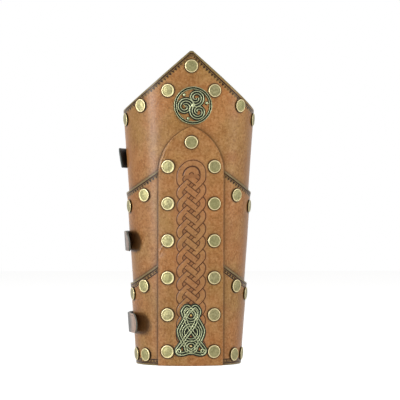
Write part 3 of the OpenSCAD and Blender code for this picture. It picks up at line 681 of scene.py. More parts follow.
def rivet_tree():
    """Sets a cap, a shank and a burr on every point it is given."""
    tree, given = new_tree("riveting", ("Cap Radius", "Float"), ("Cap Height", "Float"),
                           ("Brass", "Material"))
    cap = turned(tree, 32, 17, cap_radii, cap_heights, given["Cap Radius"], given["Cap Height"])
    burr = turned(tree, 20, 9, burr_radii, burr_heights, burr_r * MM, burr_h * MM)
    rod = add(tree, "GeometryNodeMeshCylinder", {"Vertices": 12, "Radius": shank_r * MM, "Depth": 1.0})
    grip = add(tree, NAMED, {"Name": "grip"}, **NUMBER)
    straight = add(tree, NAMED, {"Name": "outward"}, **WAY)
    facing = add(tree, TURN_TO, {"Vector": straight}, axis="Z")
    tone = add(tree, "FunctionNodeRandomValue", {"Min": 0.0, "Max": 1.0, "Seed": tone_seed}, **NUMBER)
    spots = add(tree, STORE, {"Geometry": given["Geometry"], "Name": "tone", "Value": tone}, **NUMBER)
    parts = []
    for shape, share, size in ((cap, 0.0, 1.0), (burr, -1.0, 1.0), (rod, -0.5, grip)):
        shift = add(tree, VECTOR, (straight, add(tree, MATH, (grip, share), **TIMES)), operation="SCALE")
        moved = add(tree, MOVE, {"Geometry": spots, "Offset": shift})
        scale = add(tree, XYZ, (1.0, 1.0, size))
        parts.append(add(tree, ON_POINTS, {"Points": moved, "Instance": shape, "Rotation": facing,
                                           "Scale": scale}))
    return finish_tree(tree, add(tree, "GeometryNodeJoinGeometry", (parts,)), given["Brass"])


def settled(piece, modifier):
    """Keeps what a modifier makes as a plain mesh, and takes the modifier off."""
    ready = piece.evaluated_get(bpy.context.evaluated_depsgraph_get())
    mesh = bpy.data.meshes.new_from_object(ready)
    piece.modifiers.remove(modifier)
    piece.data = mesh
    return piece


def grown(piece, tree, **values):
    """Runs a tree on a piece. Its inputs are set by their identifiers."""
    modifier = piece.modifiers.new("tree", "NODES")
    modifier.node_group = tree
    names = {item.name: item.identifier for item in tree.interface.items_tree if item.in_out == "INPUT"}
    for name, value in values.items():
        modifier[names[name.replace("_", " ")]] = value
    return settled(piece, modifier)


riveting = rivet_tree()
print("nodes in the riveting tree:", len(riveting.nodes))

# %% [markdown]
# ## Metals and leathers as recipes
# A material here is a stack of coats, as it is on the bench: a base colour, then dye, dirt, stain and wear,
# each laid only where a noise or a mark on the mesh says. So each recipe is a short list. Noises run in
# Object coordinates, and their scales are written as real sizes in millimetres.

# %% Tools for materials
def new_material(name, *marks):
    """A material with an empty tree that reads its marks from the mesh, and its Object coordinates."""
    made = bpy.data.materials.new(name)
    made.use_nodes = True
    tree = made.node_tree
    tree.nodes.clear()
    return made, tree, add(tree, PLACE, out="Object"), *(
        add(tree, MARK, out="Fac", attribute_name=mark) for mark in marks)


def painted(tree, skin, coats):
    """Lays coats over a skin. A coat is a mark, the span over which it grows, its most and a colour."""
    for mark, *span, most, code in coats:
        if span:
            share = add(tree, RANGE, (mark, *span, 0.0, most), **EASE)
        else:
            share = add(tree, MATH, (mark, most), **TIMES)
        skin = add(tree, MIX, (share, skin, code), **COLOUR)
    return skin


def between(tree, mark, rise, fall):
    """One where a mark lies between two soft steps, and nothing outside them."""
    return add(tree, MATH, tuple(add(tree, RANGE, (mark, *span), **EASE) for span in (rise, fall)), **TIMES)


def finish_material(made, tree, relief, looks, *pieces):
    """Ends a material in one shader. Its relief is a strength, a depth in metres and a height."""
    bump = add(tree, BUMP, dict(zip(("Strength", "Distance", "Height"), relief)))
    shader = add(tree, SHADER, {"Normal": bump, **looks})
    add(tree, OUTPUT, {"Surface": shader})
    wear(made, *pieces)
    print(f"material: {made.name}, {len(tree.nodes)} nodes")


print("tools for materials: new_material, painted, between, finish_material")

# %% Antiqued brass for the caps
# Pressed sheet brass, aged and rubbed back, so the rim is bright and the middle dull; the crack under the rim
# is painted dark as shade
cap_brass, tree, place, way, tone = new_material("antiqued_cap_brass", "way", "tone")
speckle = add(tree, NOISE, {"Vector": place, "Scale": 1000 / 1.6, "Detail": 3.0})
dents = add(tree, NOISE, {"Vector": place, "Scale": 1000 / 2.6, "Detail": 1.0})
skin = painted(tree, "787250", (
    (speckle, 0.35, 0.65, 1.0, "958F6A"), (tone, 0.6, "7E7C51"),
    # The last coat is painted shade on the cap's skirt, in the crack where it meets the leather
    (between(tree, way, (0.5, 0.56), (0.68, 0.62)), 1.0, "CFC094"), (way, 0.66, 0.72, 1.0, "3E3018")))
finish_material(cap_brass, tree, (0.4, 0.0006, dents), {
    "Base Color": skin, "Metallic": 0.85,
    "Roughness": add(tree, RANGE, (speckle, 0.3, 0.7, 0.42, 0.55), **EASE)})

# %% Setting the dress rivets
def seat_axes(f, z, r):
    """A place on the wall, and its directions straight out, sideways and up."""
    way, a = outward(f), math.radians(float(f))
    right = np.array([math.cos(a), math.sin(a), 0])
    return np.array([*(float(v) for v in oval(f, r)), z]), way, right, np.cross(way, right)


def riveted(name, places, *nodes, cap=(5.5, 1.9), seat=-0.08):
    """Rivets at their places: a cap on the outside, a burr inside and a shank between."""
    points, ways, grips = [], [], []
    for f, z, outer, inner in places:
        r = side_r(z, outer)
        foot, way, _, _ = seat_axes(f, z, r)
        points.append(foot + way * seat)
        ways.append(way)
        bend = r - (outer - inner) * step - leather_t + centre_span
        sag = bend - math.sqrt(bend ** 2 - burr_r ** 2)
        grips.append((seat + (outer - inner) * step + leather_t + sag) * MM)
    made = new_mesh(name, points, [], {"outward": ways, "grip": grips})
    grown(made, riveting, Cap_Radius=cap[0] * MM, Cap_Height=cap[1] * MM, Brass=cap_brass)
    finish_piece(made, "brass", *nodes)


for row, places, node in (("spine", spine_places, "spine"), ("upper", upper_places, "upper_lame"),
                          ("middle", middle_places, "middle_lame"), ("lower", lower_places, "lower_lame"),
                          ("wrist", wrist_places, "wrist_row")):
    riveted(row + "_rivet_caps", places, node + "_rivets")

# %% [markdown]
# ## Vegetable-tanned leather
# Bark-tanned cowhide takes dye unevenly, so it looks cloudy: orange where it drank the dye and grey-brown
# where it was rubbed. A stamped border follows its edges: a dark stained edge, a cut line and a row of small
# triangles. The border is drawn from two numbers on the mesh, the distance in from the edge and the distance
# along it, so it bends round every corner as the stamping does. Shade is painted into the colour on the
# flanks, where leather lies on leather and round each rivet, and round the strap tails as their shadow along
# with the black dye they leave; two more distances on the mesh say where that is.

# %% The skin of vegetable-tanned leather
tan_marks = ("edge", "stamp", "along", "rivet", "beside", "cut", "gap", "field", "flesh", "double", "flank")
tan_leather, tree, place, *marks = new_material("vegetable_tanned_leather", *tan_marks)
edge, stamp, along, rivet, shade_and_stain_mark, cut, gap, field, flesh, double, flank = marks

# Dye clouds 42 mm across, mottling of 9 mm, growth marks of 4 mm, and pores of 2 mm, coarser than real ones
clouds, mottle, growth, pores = (
    add(tree, NOISE, {"Vector": place, "Scale": 1000 / size, "Detail": detail, "Roughness": rough})
    for size, detail, rough in ((42, 2.0, 0.5), (9, 3.0, 0.6), (4, 2.0, 0.6), (2, 2.0, 0.65)))
skin = painted(tree, "A27040", (
    (mottle, 0.32, 0.7, 1.0, "B68855"), (clouds, 0.42, 0.66, 0.5, "B4723E"),
    (clouds, 0.56, 0.34, 0.45, "A07C40"), (growth, 0.52, 0.68, 0.16, "88582C"),
    (growth, 0.46, 0.32, 0.15, "C4864E"), (pores, 0.48, 0.36, 0.5, "7C5228"),
    (pores, 0.53, 0.66, 0.38, "CCA06E")))
print("leather noises:", len(tree.nodes), "nodes")

# %% The stamped border
# Triangles stand along a cut line, stamped with uneven pressure. A second line closes a double border
tooth_pitch = 3.1
line = between(tree, stamp, (1.4, 1.65), (2.75, 2.45))
second = add(tree, MATH, (between(tree, stamp, (4.5, 4.8), (5.7, 5.4)), double), **TIMES)
turn = add(tree, MATH, (add(tree, MATH, (along, tooth_pitch), operation="DIVIDE"),), operation="FRACT")
tooth = add(tree, MATH, (add(tree, MATH, (turn, 0.5), **MINUS),), operation="ABSOLUTE")
depth_in = add(tree, RANGE, (stamp, 5.3, 2.6, 0.0, 0.5), clamp=False)
teeth = add(tree, RANGE, (add(tree, MATH, (depth_in, tooth), **MINUS), -0.08, 0.04), **EASE)
for span in ((stamp, 2.7, 3.1), (growth, 0.3, 0.55, 0.45, 1.0)):
    teeth = add(tree, MATH, (teeth, add(tree, RANGE, span, **EASE)), **TIMES)
stamped = add(tree, MATH, (add(tree, MATH, (line, teeth), **HIGHER), second), **HIGHER)
print("a tooth every", tooth_pitch, "mm")

# %% Tooling, wear, stain and painted shade
# The flanks get painted shade, and the tooled field is stained a cooler red that stays darkest in the cuts.
# The border lies in an olive band with a rubbed edge. Shade is painted beside whatever lies on top and as a
# dark ring round each cap; round the strap tails it is their painted shadow along with the black dye they
# leave
on_border = add(tree, RANGE, (stamp, 30.0, 20.0), **EASE)
# On the tan leather this share is only the rubbed edge of the border, with no sheen
rubbed = add(tree, MATH, (on_border, 0.8), **TIMES)
raw = add(tree, RANGE, (on_border, 0.0, 1.0, 0.1, 0.7))
skin = painted(tree, skin, (
    # The flank coat and the last four coats are painted shade, and by the straps also their dye stain
    (flank, 0.5, "905A22"), (field, 0.35, "BA845C"), (gap, 0.45, "805030"), (cut, 0.95, "3E1C0E"),
    (stamp, 5.6, 4.0, 0.65, "86703F"), (stamped, 1.0, "2C1608"), (edge, 1.6, 1.0, rubbed, "7E7450"),
    (edge, 0.45, 0.0, raw, "5E4A34"), (shade_and_stain_mark, 1.5, 0.5, 0.55, "4A2C10"),
    (shade_and_stain_mark, 5.0, 0.0, 0.3, "5E4424"), (rivet, 8.0, 6.0, 0.35, "6E5028"),
    (rivet, 6.7, 5.9, 0.85, "40290F")))
fibre = painted(tree, "A98A64", ((growth, 0.3, 0.7, 1.0, "C3A67F"),))
skin = add(tree, MIX, (flesh, skin, fibre), **COLOUR)
print("leather colours:", len(tree.nodes), "nodes")

# %% Relief and gloss of the leather
# A waxed surface: half-dull, with a thin glossier film that gives a soft, wide highlight
grain = tuple(add(tree, MATH, share, **TIMES) for share in ((pores, 0.45), (growth, 0.6)))
depth = add(tree, MATH, (add(tree, MATH, grain, **PLUS), stamped), **MINUS)
gloss = add(tree, MATH, (add(tree, RANGE, (mottle, 0.3, 0.7, 0.31, 0.4), **EASE),
                         add(tree, MATH, (flesh, 0.3), **TIMES)), **PLUS)
finish_material(tan_leather, tree, (0.6, 0.0004, depth), {
    "Base Color": skin, "Roughness": gloss, "Specular IOR Level": 0.12, "Coat Weight": 0.13,
    "Coat Roughness": 0.32}, *lames, spine_piece)

# %% [markdown]
# ## Straps
# Three black straps close the opening down the back. Each is riveted on the right, runs over its buckle,
# dips through a keeper and ends in a tail that is too stiff to follow the wall, so it stands off at the
# left. A strap is one strip of leather along a path, with its edges skived round. A cloth simulation would
# sag it, but harness leather this short holds its own curve, so it is modelled as it lies.

# %% Strap paths
strap_w, strap_t = 17.0, 1.8
strap_stand, seat_air, heel_s, far_s = 4.7, 0.1, 8.0, 4.0
root_end, chape_end_s, keeper_s = 45.0, 50.5, 34.5
tail_s = (-95.0, -95.8, -80.3909)
tail_gap, tail_run, tail_arc_r = 2.8, 22.0, 11.0
# Each tail's lift and twist, and how strongly its end is painted with a pale sheen, as of glancing light
tail_lifts, tail_twists, tail_sheens = (4.8, 3.9, 0.6), (0.8, 2.2, 1.8), (1.0, 0.5, 0.0)
levels = ("lower", "middle", "upper")


def wall_r(i, z):
    """Radius of the lame that strap i lies on."""
    return side_r(z, 2 - i)


def strap_facing(i, s):
    """Facing at a distance s round the back, which grows towards the right of the wearer's view."""
    return 180 - facing_round(s, wall_r(i, strap_heights[i]))


def strap_rise(i, s, lift):
    """Height of the strap's inner face above the lame."""
    seated = seat_air + (strap_stand - seat_air) * smooth((far_s + 0.5 - s) / (far_s + heel_s + 0.5))
    free = strap_stand - (strap_stand - tail_gap) * smooth((-chape_end_s - s) / (tail_run / 2))
    free = free + lift * np.maximum(0, (tail_s[i] + tail_run - s) / tail_run) ** 2
    return np.where(s > -heel_s, seated, free)


print("the tails end at", tail_s, "mm round the back")

# %% Strips of leather and slots in them
def strip(name, centre, v, thick, edge, **marks):
    """A strip of leather: centre holds its middle line in plan for each height in v."""
    along = np.gradient(centre, axis=1)
    along /= np.linalg.norm(along, axis=-1, keepdims=True)
    out = np.stack([along[..., 1], -along[..., 0]], -1)
    half = (thick / 2 * rounding(edge))[..., None]
    skins = [np.concatenate([centre + way * out * half, v[..., None]], -1) for way in (1, -1)]
    return plate(name, *skins, {"edge": edge, **marks})


def punched(piece, i, outline, low, high, places):
    """Cuts an outline through a piece at places along strap i, from one depth to another."""
    z, n = strap_heights[i], len(outline)
    for s in places:
        foot, way, right, up = seat_axes(strap_facing(i, s), z, wall_r(i, z))
        ring = [foot + right * x + up * y for x, y in outline]
        points = [p + way * low for p in ring] + [p + way * high for p in ring]
        faces = [list(range(n))[::-1], list(range(n, 2 * n))]
        faces += [(k, (k + 1) % n, n + (k + 1) % n, n + k) for k in range(n)]
        cutter = new_mesh("punch", points, faces, smooth=False)
        modifier = piece.modifiers.new("punch", "BOOLEAN")
        modifier.operation, modifier.solver, modifier.object = "DIFFERENCE", "EXACT", cutter
        settled(piece, modifier)
        bpy.data.objects.remove(cutter)
    return piece


def stadium(length, width):
    """Outline of a slot with round ends."""
    turns = np.radians(np.arange(-90, 91, 15))
    right = [((length - width) / 2 + width / 2 * math.cos(a), width / 2 * math.sin(a)) for a in turns]
    return right + [(-x, -y) for x, y in right]


def each_level(make, kind):
    """One piece of leather for each level, finished."""
    pieces = [make(i) for i in range(3)]
    for level, piece in zip(levels, pieces):
        finish_piece(piece, "black_leather", f"{level}_{kind}")
    return pieces


print("tools for strips: strip, punched, stadium, each_level")

# %% The straps
slot_first, slot_pitch, slot_count, slot_l, slot_w = 9.1, 12, 5, 7.8, 3.0
# The last two set how far from the tail's end the pale painted sheen reaches, and how softly it fades
strip_gap, strap_gap, strap_reach, sheen_reach, sheen_run = 1.2, 0.0115, 133, 16, 12


def strap(i):
    """One strap with its slots for the prong."""
    half = strap_w / 2
    v = spread(-half, half, strip_gap)[:, None]
    q = spread(0, 1, strap_gap, edge_rows / strap_reach)[None, :]
    end = tail_s[i] + tail_arc_r - np.sqrt(tail_arc_r ** 2 - v ** 2)
    s = root_end + (end - root_end) * q
    z = strap_heights[i] + v + 0 * s
    lift = tail_lifts[i] + tail_twists[i] * (v + half) / strap_w
    centre = np.stack(oval(strap_facing(i, s), wall_r(i, z) + strap_rise(i, s, lift) + strap_t / 2), -1)
    edge = np.maximum(np.minimum(np.minimum(half - np.abs(v), root_end - s), (s - end) * 0.9), 0)
    edge[[0, -1]] = 0
    # A pale painted sheen, as of glancing light, over the last part of each tail
    rubbed = tail_sheens[i] * smooth((end + sheen_reach - s) / sheen_run)
    piece = strip(levels[i] + "_leather_strap", centre, z, strap_t, edge, rubbed=rubbed)
    return punched(piece, i, stadium(slot_l, slot_w), -1.0, strap_stand + 4 * strap_t,
                   [slot_first - slot_pitch * k for k in range(slot_count)])


straps = each_level(strap, "strap")

# %% [markdown]
# ## Chapes and keepers
# A chape is the short fold of leather that holds a buckle: it goes round the heel bar, is slotted for the
# prong and is riveted through itself. Its outer leg humps over the keeper, the loop that holds the strap
# flat. The chape is a strip again, along a folded path. The keeper is a small section carried round a
# rounded rectangle.

# %% Chapes
chape_t, chape_low, chape_high, fold_r, fold_run, heel_v = 1.4, 0.8, 2.3, 2.0, 7.0, 1.55
keeper_bump, bump_half, bump_end = 1.45, 3.5, 5.9
prong_slot_w, prong_slot_x = 3.4, 2.5


def chape(i):
    """A strip folded round the heel bar, with a slot for the prong."""
    half, count, long_count = strap_w / 2, 34, 51
    run = chape_end_s - heel_s
    inner_s = -chape_end_s + run * np.concatenate([edge_rows[:-1] / run, np.arange(1, count) / count])
    outer = np.concatenate([np.arange(1, long_count) / long_count, 1 - edge_rows[-2::-1] / run])
    outer_s = -heel_s - run * outer
    opening = [smooth((s + heel_s + fold_run) / fold_run) for s in (inner_s, outer_s)]
    hump = keeper_bump * smooth((bump_end - np.abs(outer_s + keeper_s)) / (bump_end - bump_half))
    v = spread(-half, half, strip_gap)
    heel_f = strap_facing(i, -heel_s)
    a = math.radians(float(heel_f))
    out, on = np.array([math.sin(a), -math.cos(a)]), np.array([math.cos(a), math.sin(a)])
    turn = np.radians(np.arange(0, 181, 12))[:, None]
    rows = []
    for z in strap_heights[i] + v:
        r = wall_r(i, z)
        heel = np.array(oval(heel_f, r + heel_v)).reshape(1, 2)
        fold = heel - fold_r * (np.cos(turn) * out + np.sin(turn) * on)
        low = r + chape_low + (heel_v - fold_r - chape_low) * opening[0]
        high = r + chape_high + hump + (heel_v + fold_r - chape_high) * opening[1]
        rows.append(np.concatenate([np.stack(oval(strap_facing(i, inner_s), low), -1), fold,
                                    np.stack(oval(strap_facing(i, outer_s), high), -1)]))
    centre = np.array(rows)
    length = np.cumsum(np.concatenate([[0], np.linalg.norm(np.diff(centre[len(v) // 2], axis=0), axis=1)]))
    edge = np.minimum((half - np.abs(v))[:, None], np.minimum(length, length[-1] - length)[None, :])
    z = (strap_heights[i] + v)[:, None] + 0 * edge
    piece = strip(levels[i] + "_leather_chape", centre, z, chape_t, edge)
    bow = [(prong_slot_x + prong_slot_w / 2 * math.cos(t), prong_slot_w / 2 * math.sin(t))
           for t in np.radians(np.arange(-90, 91, 15))]
    outline = [(-2 * fold_r, -prong_slot_w / 2), *bow, (-2 * fold_r, prong_slot_w / 2)]
    return punched(piece, i, outline, -2 * fold_r, 4 * fold_r, [-heel_s])


chapes = each_level(chape, "chape")

# %% Keepers
keeper_t, keeper_l, keeper_low, keeper_window, keeper_inner_w = 1.2, 6.6, 1.55, 4.05, 18.0
keeper_bend, keeper_corner, inside = 1.3, 0.45, 2.0


def rounded_box(long_half, wide_half, bend, stride):
    """Points round a rectangle with round corners, and the direction straight out of each."""
    points, ways = [], []
    for start, x, y in ((0, 1, 1), (90, -1, 1), (180, -1, -1), (270, 1, -1)):
        for turn in np.radians(np.arange(start, start + 91, stride)):
            way = np.array([math.cos(turn), math.sin(turn)])
            points.append(np.array([x * (long_half - bend), y * (wide_half - bend)]) + bend * way)
            ways.append(way)
    return points, ways


def keeper(i):
    """A closed loop of leather round the strap, with rounded edges."""
    z = strap_heights[i]
    foot, way, right, up = seat_axes(strap_facing(i, -keeper_s), z, wall_r(i, z))
    tall, wide = keeper_window + keeper_t, keeper_inner_w + keeper_t
    middle = foot + way * (keeper_low + (tall + keeper_t) / 2)
    loop, ways = rounded_box(tall / 2, wide / 2, keeper_bend, 15)
    section, _ = rounded_box(keeper_l / 2, keeper_t / 2, keeper_corner, 30)
    points = [middle + way * (h + d[0] * out) + up * (w + d[1] * out) + right * along
              for (h, w), d in zip(loop, ways) for along, out in section]
    n, m = len(loop), len(section)
    faces = [(a * m + b, a * m + (b + 1) % m, (a + 1) % n * m + (b + 1) % m, (a + 1) % n * m + b)
             for a in range(n) for b in range(m)]
    return new_mesh(levels[i] + "_leather_keeper", points, faces, {"edge": np.full(len(points), inside)})


keepers = each_level(keeper, "keeper")

# %% [markdown]
# ## Black harness leather
# Strap leather is dyed through and finished with wax. It is never pure black: bends show a grey bloom, the
# grain catches light in fine wrinkles across the strap, and a creaser has pressed a line along each edge.

# %% Black harness leather
black_leather, tree, place, edge, rubbed = new_material("waxed_black_harness_leather", "edge", "rubbed")
stretched = add(tree, "ShaderNodeMapping", {"Vector": place, "Scale": (1.0, 1.0, 0.45)})
wrinkle = add(tree, NOISE, {"Vector": stretched, "Scale": 1000 / 1.6, "Detail": 3.0, "Roughness": 0.6})
bloom = add(tree, NOISE, {"Vector": place, "Scale": 1000 / 14})
crease = between(tree, edge, (1.6, 1.9), (2.4, 2.1))
# The pale coat at the tail ends is a painted sheen, as of light glancing off them
skin = painted(tree, "141211", ((bloom, 0.4, 0.7, 0.6, "26221F"), (rubbed, 0.85, "B6947E"),
                                (edge, 0.4, 0.1, 0.9, "4E5A56"), (crease, 0.6, "0A0908")))
depth = add(tree, MATH, (add(tree, MATH, (wrinkle, 0.6), **TIMES), crease), **MINUS)
finish_material(black_leather, tree, (0.5, 0.0003, depth), {
    "Base Color": skin, "Roughness": add(tree, RANGE, (wrinkle, 0.3, 0.7, 0.36, 0.5), **EASE),
    "Specular IOR Level": 0.3, "Coat Weight": 0.2, "Coat Roughness": 0.35, "Sheen Weight": 0.1,
    "Sheen Roughness": 0.4, "Sheen Tint": "EADFCF"}, *straps, *chapes, *keepers)

# %% Small rivets of the straps
strap_top, chape_top, small_cap = 1.9, 3.0, (4.0, 1.1)
for i, level in enumerate(levels):
    for places_s, top, kind in (((38.5, 26.5), strap_top, "strap"), ((-24.5, -44.5), chape_top, "chape")):
        places = [(float(strap_facing(i, s)), strap_heights[i], 2 - i, 2 - i) for s in places_s]
        riveted(f"{level}_{kind}_rivet_caps", places, f"{level}_{kind}_rivets", cap=small_cap, seat=top)

# %% [markdown]
# ## Cast ornaments
# A round medallion on the point and a plaque at the wrist are openwork castings of interlaced bands. A band
# that follows a path is what Curve to Mesh is for: the path gives the layout, and a drawn section with two
# raised ribs gives the band. Where two bands cross, one has to rise over the other, so a small routine
# finds the crossings and lets them alternate, as a plait does.

# %% Interlaced paths
def circle(r, x=0.0, z=0.0, count=72):
    """A ring as points and the word that it is closed."""
    a = np.linspace(0, 2 * math.pi, count, endpoint=False)
    return np.stack([x + r * np.sin(a), z + r * np.cos(a)], -1), True


def curl(r_in, r_out, turns, x, z, start, hand=1):
    """An open spiral that grows from r_in to r_out."""
    t = np.linspace(0, 1, int(40 * turns) + 8)
    a, r = math.radians(start) + hand * 2 * math.pi * turns * t, r_in + (r_out - r_in) * t
    return np.stack([x + r * np.sin(a), z + r * np.cos(a)], -1), False


print("points in a ring:", len(circle(1)[0]))

# %% Crossings that alternate
def crossings(first, second, same):
    """Places along two paths at which their segments cross."""
    def starts_and_runs(points, loop):
        runs = np.roll(points, -1, 0) - points
        return (points, runs) if loop else (points[:-1], runs[:-1])

    def turned_by(a, b):
        return a[..., 0] * b[..., 1] - a[..., 1] * b[..., 0]

    (a, u), (c, w) = starts_and_runs(*first), starts_and_runs(*second)
    u, w, gap = u[:, None], w[None], c[None] - a[:, None]
    bottom = turned_by(u, w)
    bottom = np.where(np.abs(bottom) < 1e-12, 1e-12, bottom)
    s, t = turned_by(gap, w) / bottom, turned_by(gap, u) / bottom
    hit = (s >= 0) & (s < 1) & (t >= 0) & (t < 1)
    if same:
        i, j = np.indices(hit.shape)
        hit &= (j > i + 2) & ~((i == 0) & (j >= len(a) - 2))
    return [(i + s[i, j], j + t[i, j]) for i, j in zip(*np.nonzero(hit))]


def woven(paths):
    """Rise of each path at each of its points, from -1 to 1, alternating at the crossings."""
    meets = [[] for _ in paths]
    count = 0
    for i in range(len(paths)):
        for j in range(i, len(paths)):
            for s, t in crossings(paths[i], paths[j], i == j):
                meets[i].append((s, count, 0))
                meets[j].append((t, count, 1))
                count += 1
    signs, waiting = {}, list(range(len(paths)))
    for row in meets:
        row.sort()
    while waiting:
        i = max(waiting, key=lambda k: sum((c, end) in signs for _, c, end in meets[k]))
        waiting.remove(i)
        score = sum(signs[(c, k)] * (-1) ** n for n, (_, c, k) in enumerate(meets[i]) if (c, k) in signs)
        lead = 1 if score >= 0 else -1
        for n, (_, c, k) in enumerate(meets[i]):
            if (c, k) not in signs:
                signs[(c, k)] = lead * (-1) ** n
                signs[(c, 1 - k)] = -signs[(c, k)]
    rises = []
    for (path, loop), row in zip(paths, meets):
        at, values = [s for s, _, _ in row] or [0], [signs[(c, k)] for _, c, k in row] or [0]
        rises.append(np.interp(np.arange(len(path)), at, values, period=len(path) if loop else None))
    return rises


print("crossings of two rings:", len(crossings(circle(5), circle(5, 4), False)))

# %% A tree that casts bands along paths
# The left half of a section, from its foot inwards: place across, height, and how far a point stands out
def mirrored(half, middle=(), base=()):
    """A whole section from its left half, with what lies in its middle and along its base."""
    return [*half, *middle, *[(-x, up, ridge) for x, up, ridge in reversed(half)], *base]


band_section = mirrored([(-0.5, 0.0, 0.0), (-0.5, 0.5, 0.25), (-0.44, 0.86, 0.85), (-0.36, 1.0, 1.0),
                         (-0.27, 0.86, 0.8), (-0.16, 0.4, 0.05)], [(0.0, 0.3, 0.0)],
                        [(0.2, 0.0, 0.0), (-0.2, 0.0, 0.0)])
cord_section = mirrored([(-0.5, 0.0, 0.0), (-0.5, 0.35, 0.1), (-0.42, 0.65, 0.45), (-0.28, 0.88, 0.85),
                         (-0.1, 1.0, 1.0)])
web_section = mirrored([(-0.5, 0.0, 0.0), (-0.5, 0.7, 0.1), (-0.4, 1.0, 0.12)])


def way_and_bulk(tree):
    """The straight-out direction and the bulk that each point of an ornament carries."""
    return add(tree, NAMED, {"Name": "outward"}, **WAY), add(tree, NAMED, {"Name": "bulk"}, **NUMBER)


def band_tree(name, section):
    """Sweeps a section along edges that carry their outward direction and their bulk."""
    tree, given = new_tree(name, ("Width", "Float"), ("Height", "Float"), ("Bronze", "Material"))
    straight, bulk = way_and_bulk(tree)
    line = add(tree, "GeometryNodeMeshToCurve", {"Mesh": given["Geometry"]})
    line = add(tree, "GeometryNodeSetCurveNormal", {"Curve": line, "Normal": straight}, mode="FREE")
    line = add(tree, "GeometryNodeSetCurveRadius", {"Curve": line, "Radius": bulk})
    count = len(section)
    ring = add(tree, "GeometryNodeCurvePrimitiveCircle", {"Resolution": count, "Radius": 1.0})
    turn = add(tree, MATH, (add(tree, "GeometryNodeInputIndex"), float(count)), operation="DIVIDE")
    across, up, ridge = (add(tree, CURVE, {"Value": turn}, [(k / count, at) for k, at in enumerate(track)])
                         for track in zip(*section))
    spot = add(tree, XYZ, {"X": add(tree, MATH, (up, given["Height"]), **TIMES),
                           "Y": add(tree, MATH, (across, given["Width"]), **TIMES)})
    ring = add(tree, MOVE, {"Geometry": ring, "Position": spot})
    ring = add(tree, STORE, {"Geometry": ring, "Name": "ridge", "Value": ridge}, **NUMBER)
    cast = add(tree, "GeometryNodeCurveToMesh", {"Curve": line, "Profile Curve": ring, "Fill Caps": True})
    return finish_tree(tree, cast, given["Bronze"])


def bead_tree():
    """Domes on points: each point's bulk is the radius of its dome in metres."""
    tree, given = new_tree("beading", ("Height", "Float"), ("Bronze", "Material"))
    dome = turned(tree, 14, 8, [(0, 0), (0.25, 0.5), (0.45, 0.82), (0.6, 0.97), (0.72, 1), (0.85, 1), (1, 0)],
                  [(0, 1), (0.25, 0.9), (0.45, 0.68), (0.6, 0.42), (0.72, 0.2), (0.85, 0), (1, 0)], 1.0, 1.0)
    straight, bulk = way_and_bulk(tree)
    facing = add(tree, TURN_TO, {"Vector": straight}, axis="Z")
    size = add(tree, XYZ, (bulk, bulk, given["Height"]))
    high = add(tree, RANGE, (add(tree, NAMED, {"Name": "way"}, **NUMBER), 0.7, 0.3, 0.0, 0.9))
    dome = add(tree, STORE, {"Geometry": dome, "Name": "ridge", "Value": high}, **NUMBER)
    placed = add(tree, ON_POINTS, {"Points": given["Geometry"], "Instance": dome, "Rotation": facing,
                                   "Scale": size})
    return finish_tree(tree, placed, given["Bronze"])


banding, cording, webbing = (band_tree(name, section) for name, section in (
    ("banding", band_section), ("cording", cord_section), ("webbing", web_section)))
beading = bead_tree()
print("casting trees:", banding.name, cording.name, webbing.name, beading.name)

# %% Patinated cast bronze
# Sand-cast bronze dipped to blacken it and rubbed back: pale green-gold ribs over hollows near black green
patina_bronze, tree, place, ridge = new_material("patinated_cast_bronze", "ridge")
pits = add(tree, NOISE, {"Vector": place, "Scale": 1000 / 1.8, "Detail": 3.0})
worn = add(tree, MATH, (add(tree, RANGE, (pits, 0.0, 1.0, -0.28, 0.28)), ridge), **PLUS)
patina = [(0.12, "171D12"), (0.5, "46513A"), (0.8, "868E68"), (1.0, "C6CAA2")]
finish_material(patina_bronze, tree, (0.35, 0.0003, pits), {
    "Base Color": add(tree, "ShaderNodeValToRGB", (worn,), patina), "Metallic": 0.6, "Roughness": 0.5})

# %% Laying an ornament on the wall
# A cast band is thinner at its tips, over a few of its points
cast_seat, tip_bulk, tip_points = 0.05, 0.55, 8


def on_front(x, z, layer, height):
    """Points and straight-out directions over the front wall, height millimetres above a layer."""
    x, z = np.asarray(x, float), np.asarray(z, float)
    r = side_r(z, layer) + height
    f = facing_at(x, r)
    px, py = oval(f, r)
    return np.stack([px, py, z], -1), outward(f)


def cast_bands(name, paths, tree, at, width, height, rise=0.0):
    """Bands along the paths, woven over and under each other. Their place is a layer, an x and a height."""
    layer, x0, z0 = at
    points, ways, bulk, edges = [], [], [], []
    for (path, loop), lift in zip(paths, woven(paths)):
        start, count = sum(map(len, points)), len(path)
        spots, way = on_front(x0 + path[:, 0], z0 + path[:, 1], layer, cast_seat + rise * (lift + 1) / 2)
        points.append(spots)
        ways.append(way)
        from_tip = np.minimum(np.arange(count), np.arange(count)[::-1]) / tip_points
        bulk.append(np.ones(count) if loop else tip_bulk + (1 - tip_bulk) * smooth(from_tip))
        edges += [(start + k, start + (k + 1) % count) for k in range(count - (not loop))]
    values = {"outward": np.concatenate(ways), "bulk": np.concatenate(bulk)}
    made = new_mesh(name, np.concatenate(points), [], values, edges)
    return grown(made, tree, Width=width * MM, Height=height * MM, Bronze=patina_bronze)


def cast_beads(name, beads, at, height):
    """Domes at places across the ornament, each with its own radius."""
    layer, x0, z0 = at
    beads = np.array(beads, float)
    spots, way = on_front(x0 + beads[:, 0], z0 + beads[:, 1], layer, cast_seat)
    made = new_mesh(name, spots, [], {"outward": way, "bulk": beads[:, 2] * MM})
    return grown(made, beading, Height=height * MM, Bronze=patina_bronze)


def joined(name, parts):
    """Several meshes joined into the first one."""
    with bpy.context.temp_override(active_object=parts[0], selected_editable_objects=parts):
        bpy.ops.object.join()
    parts[0].name = parts[0].data.name = name
    return parts[0]


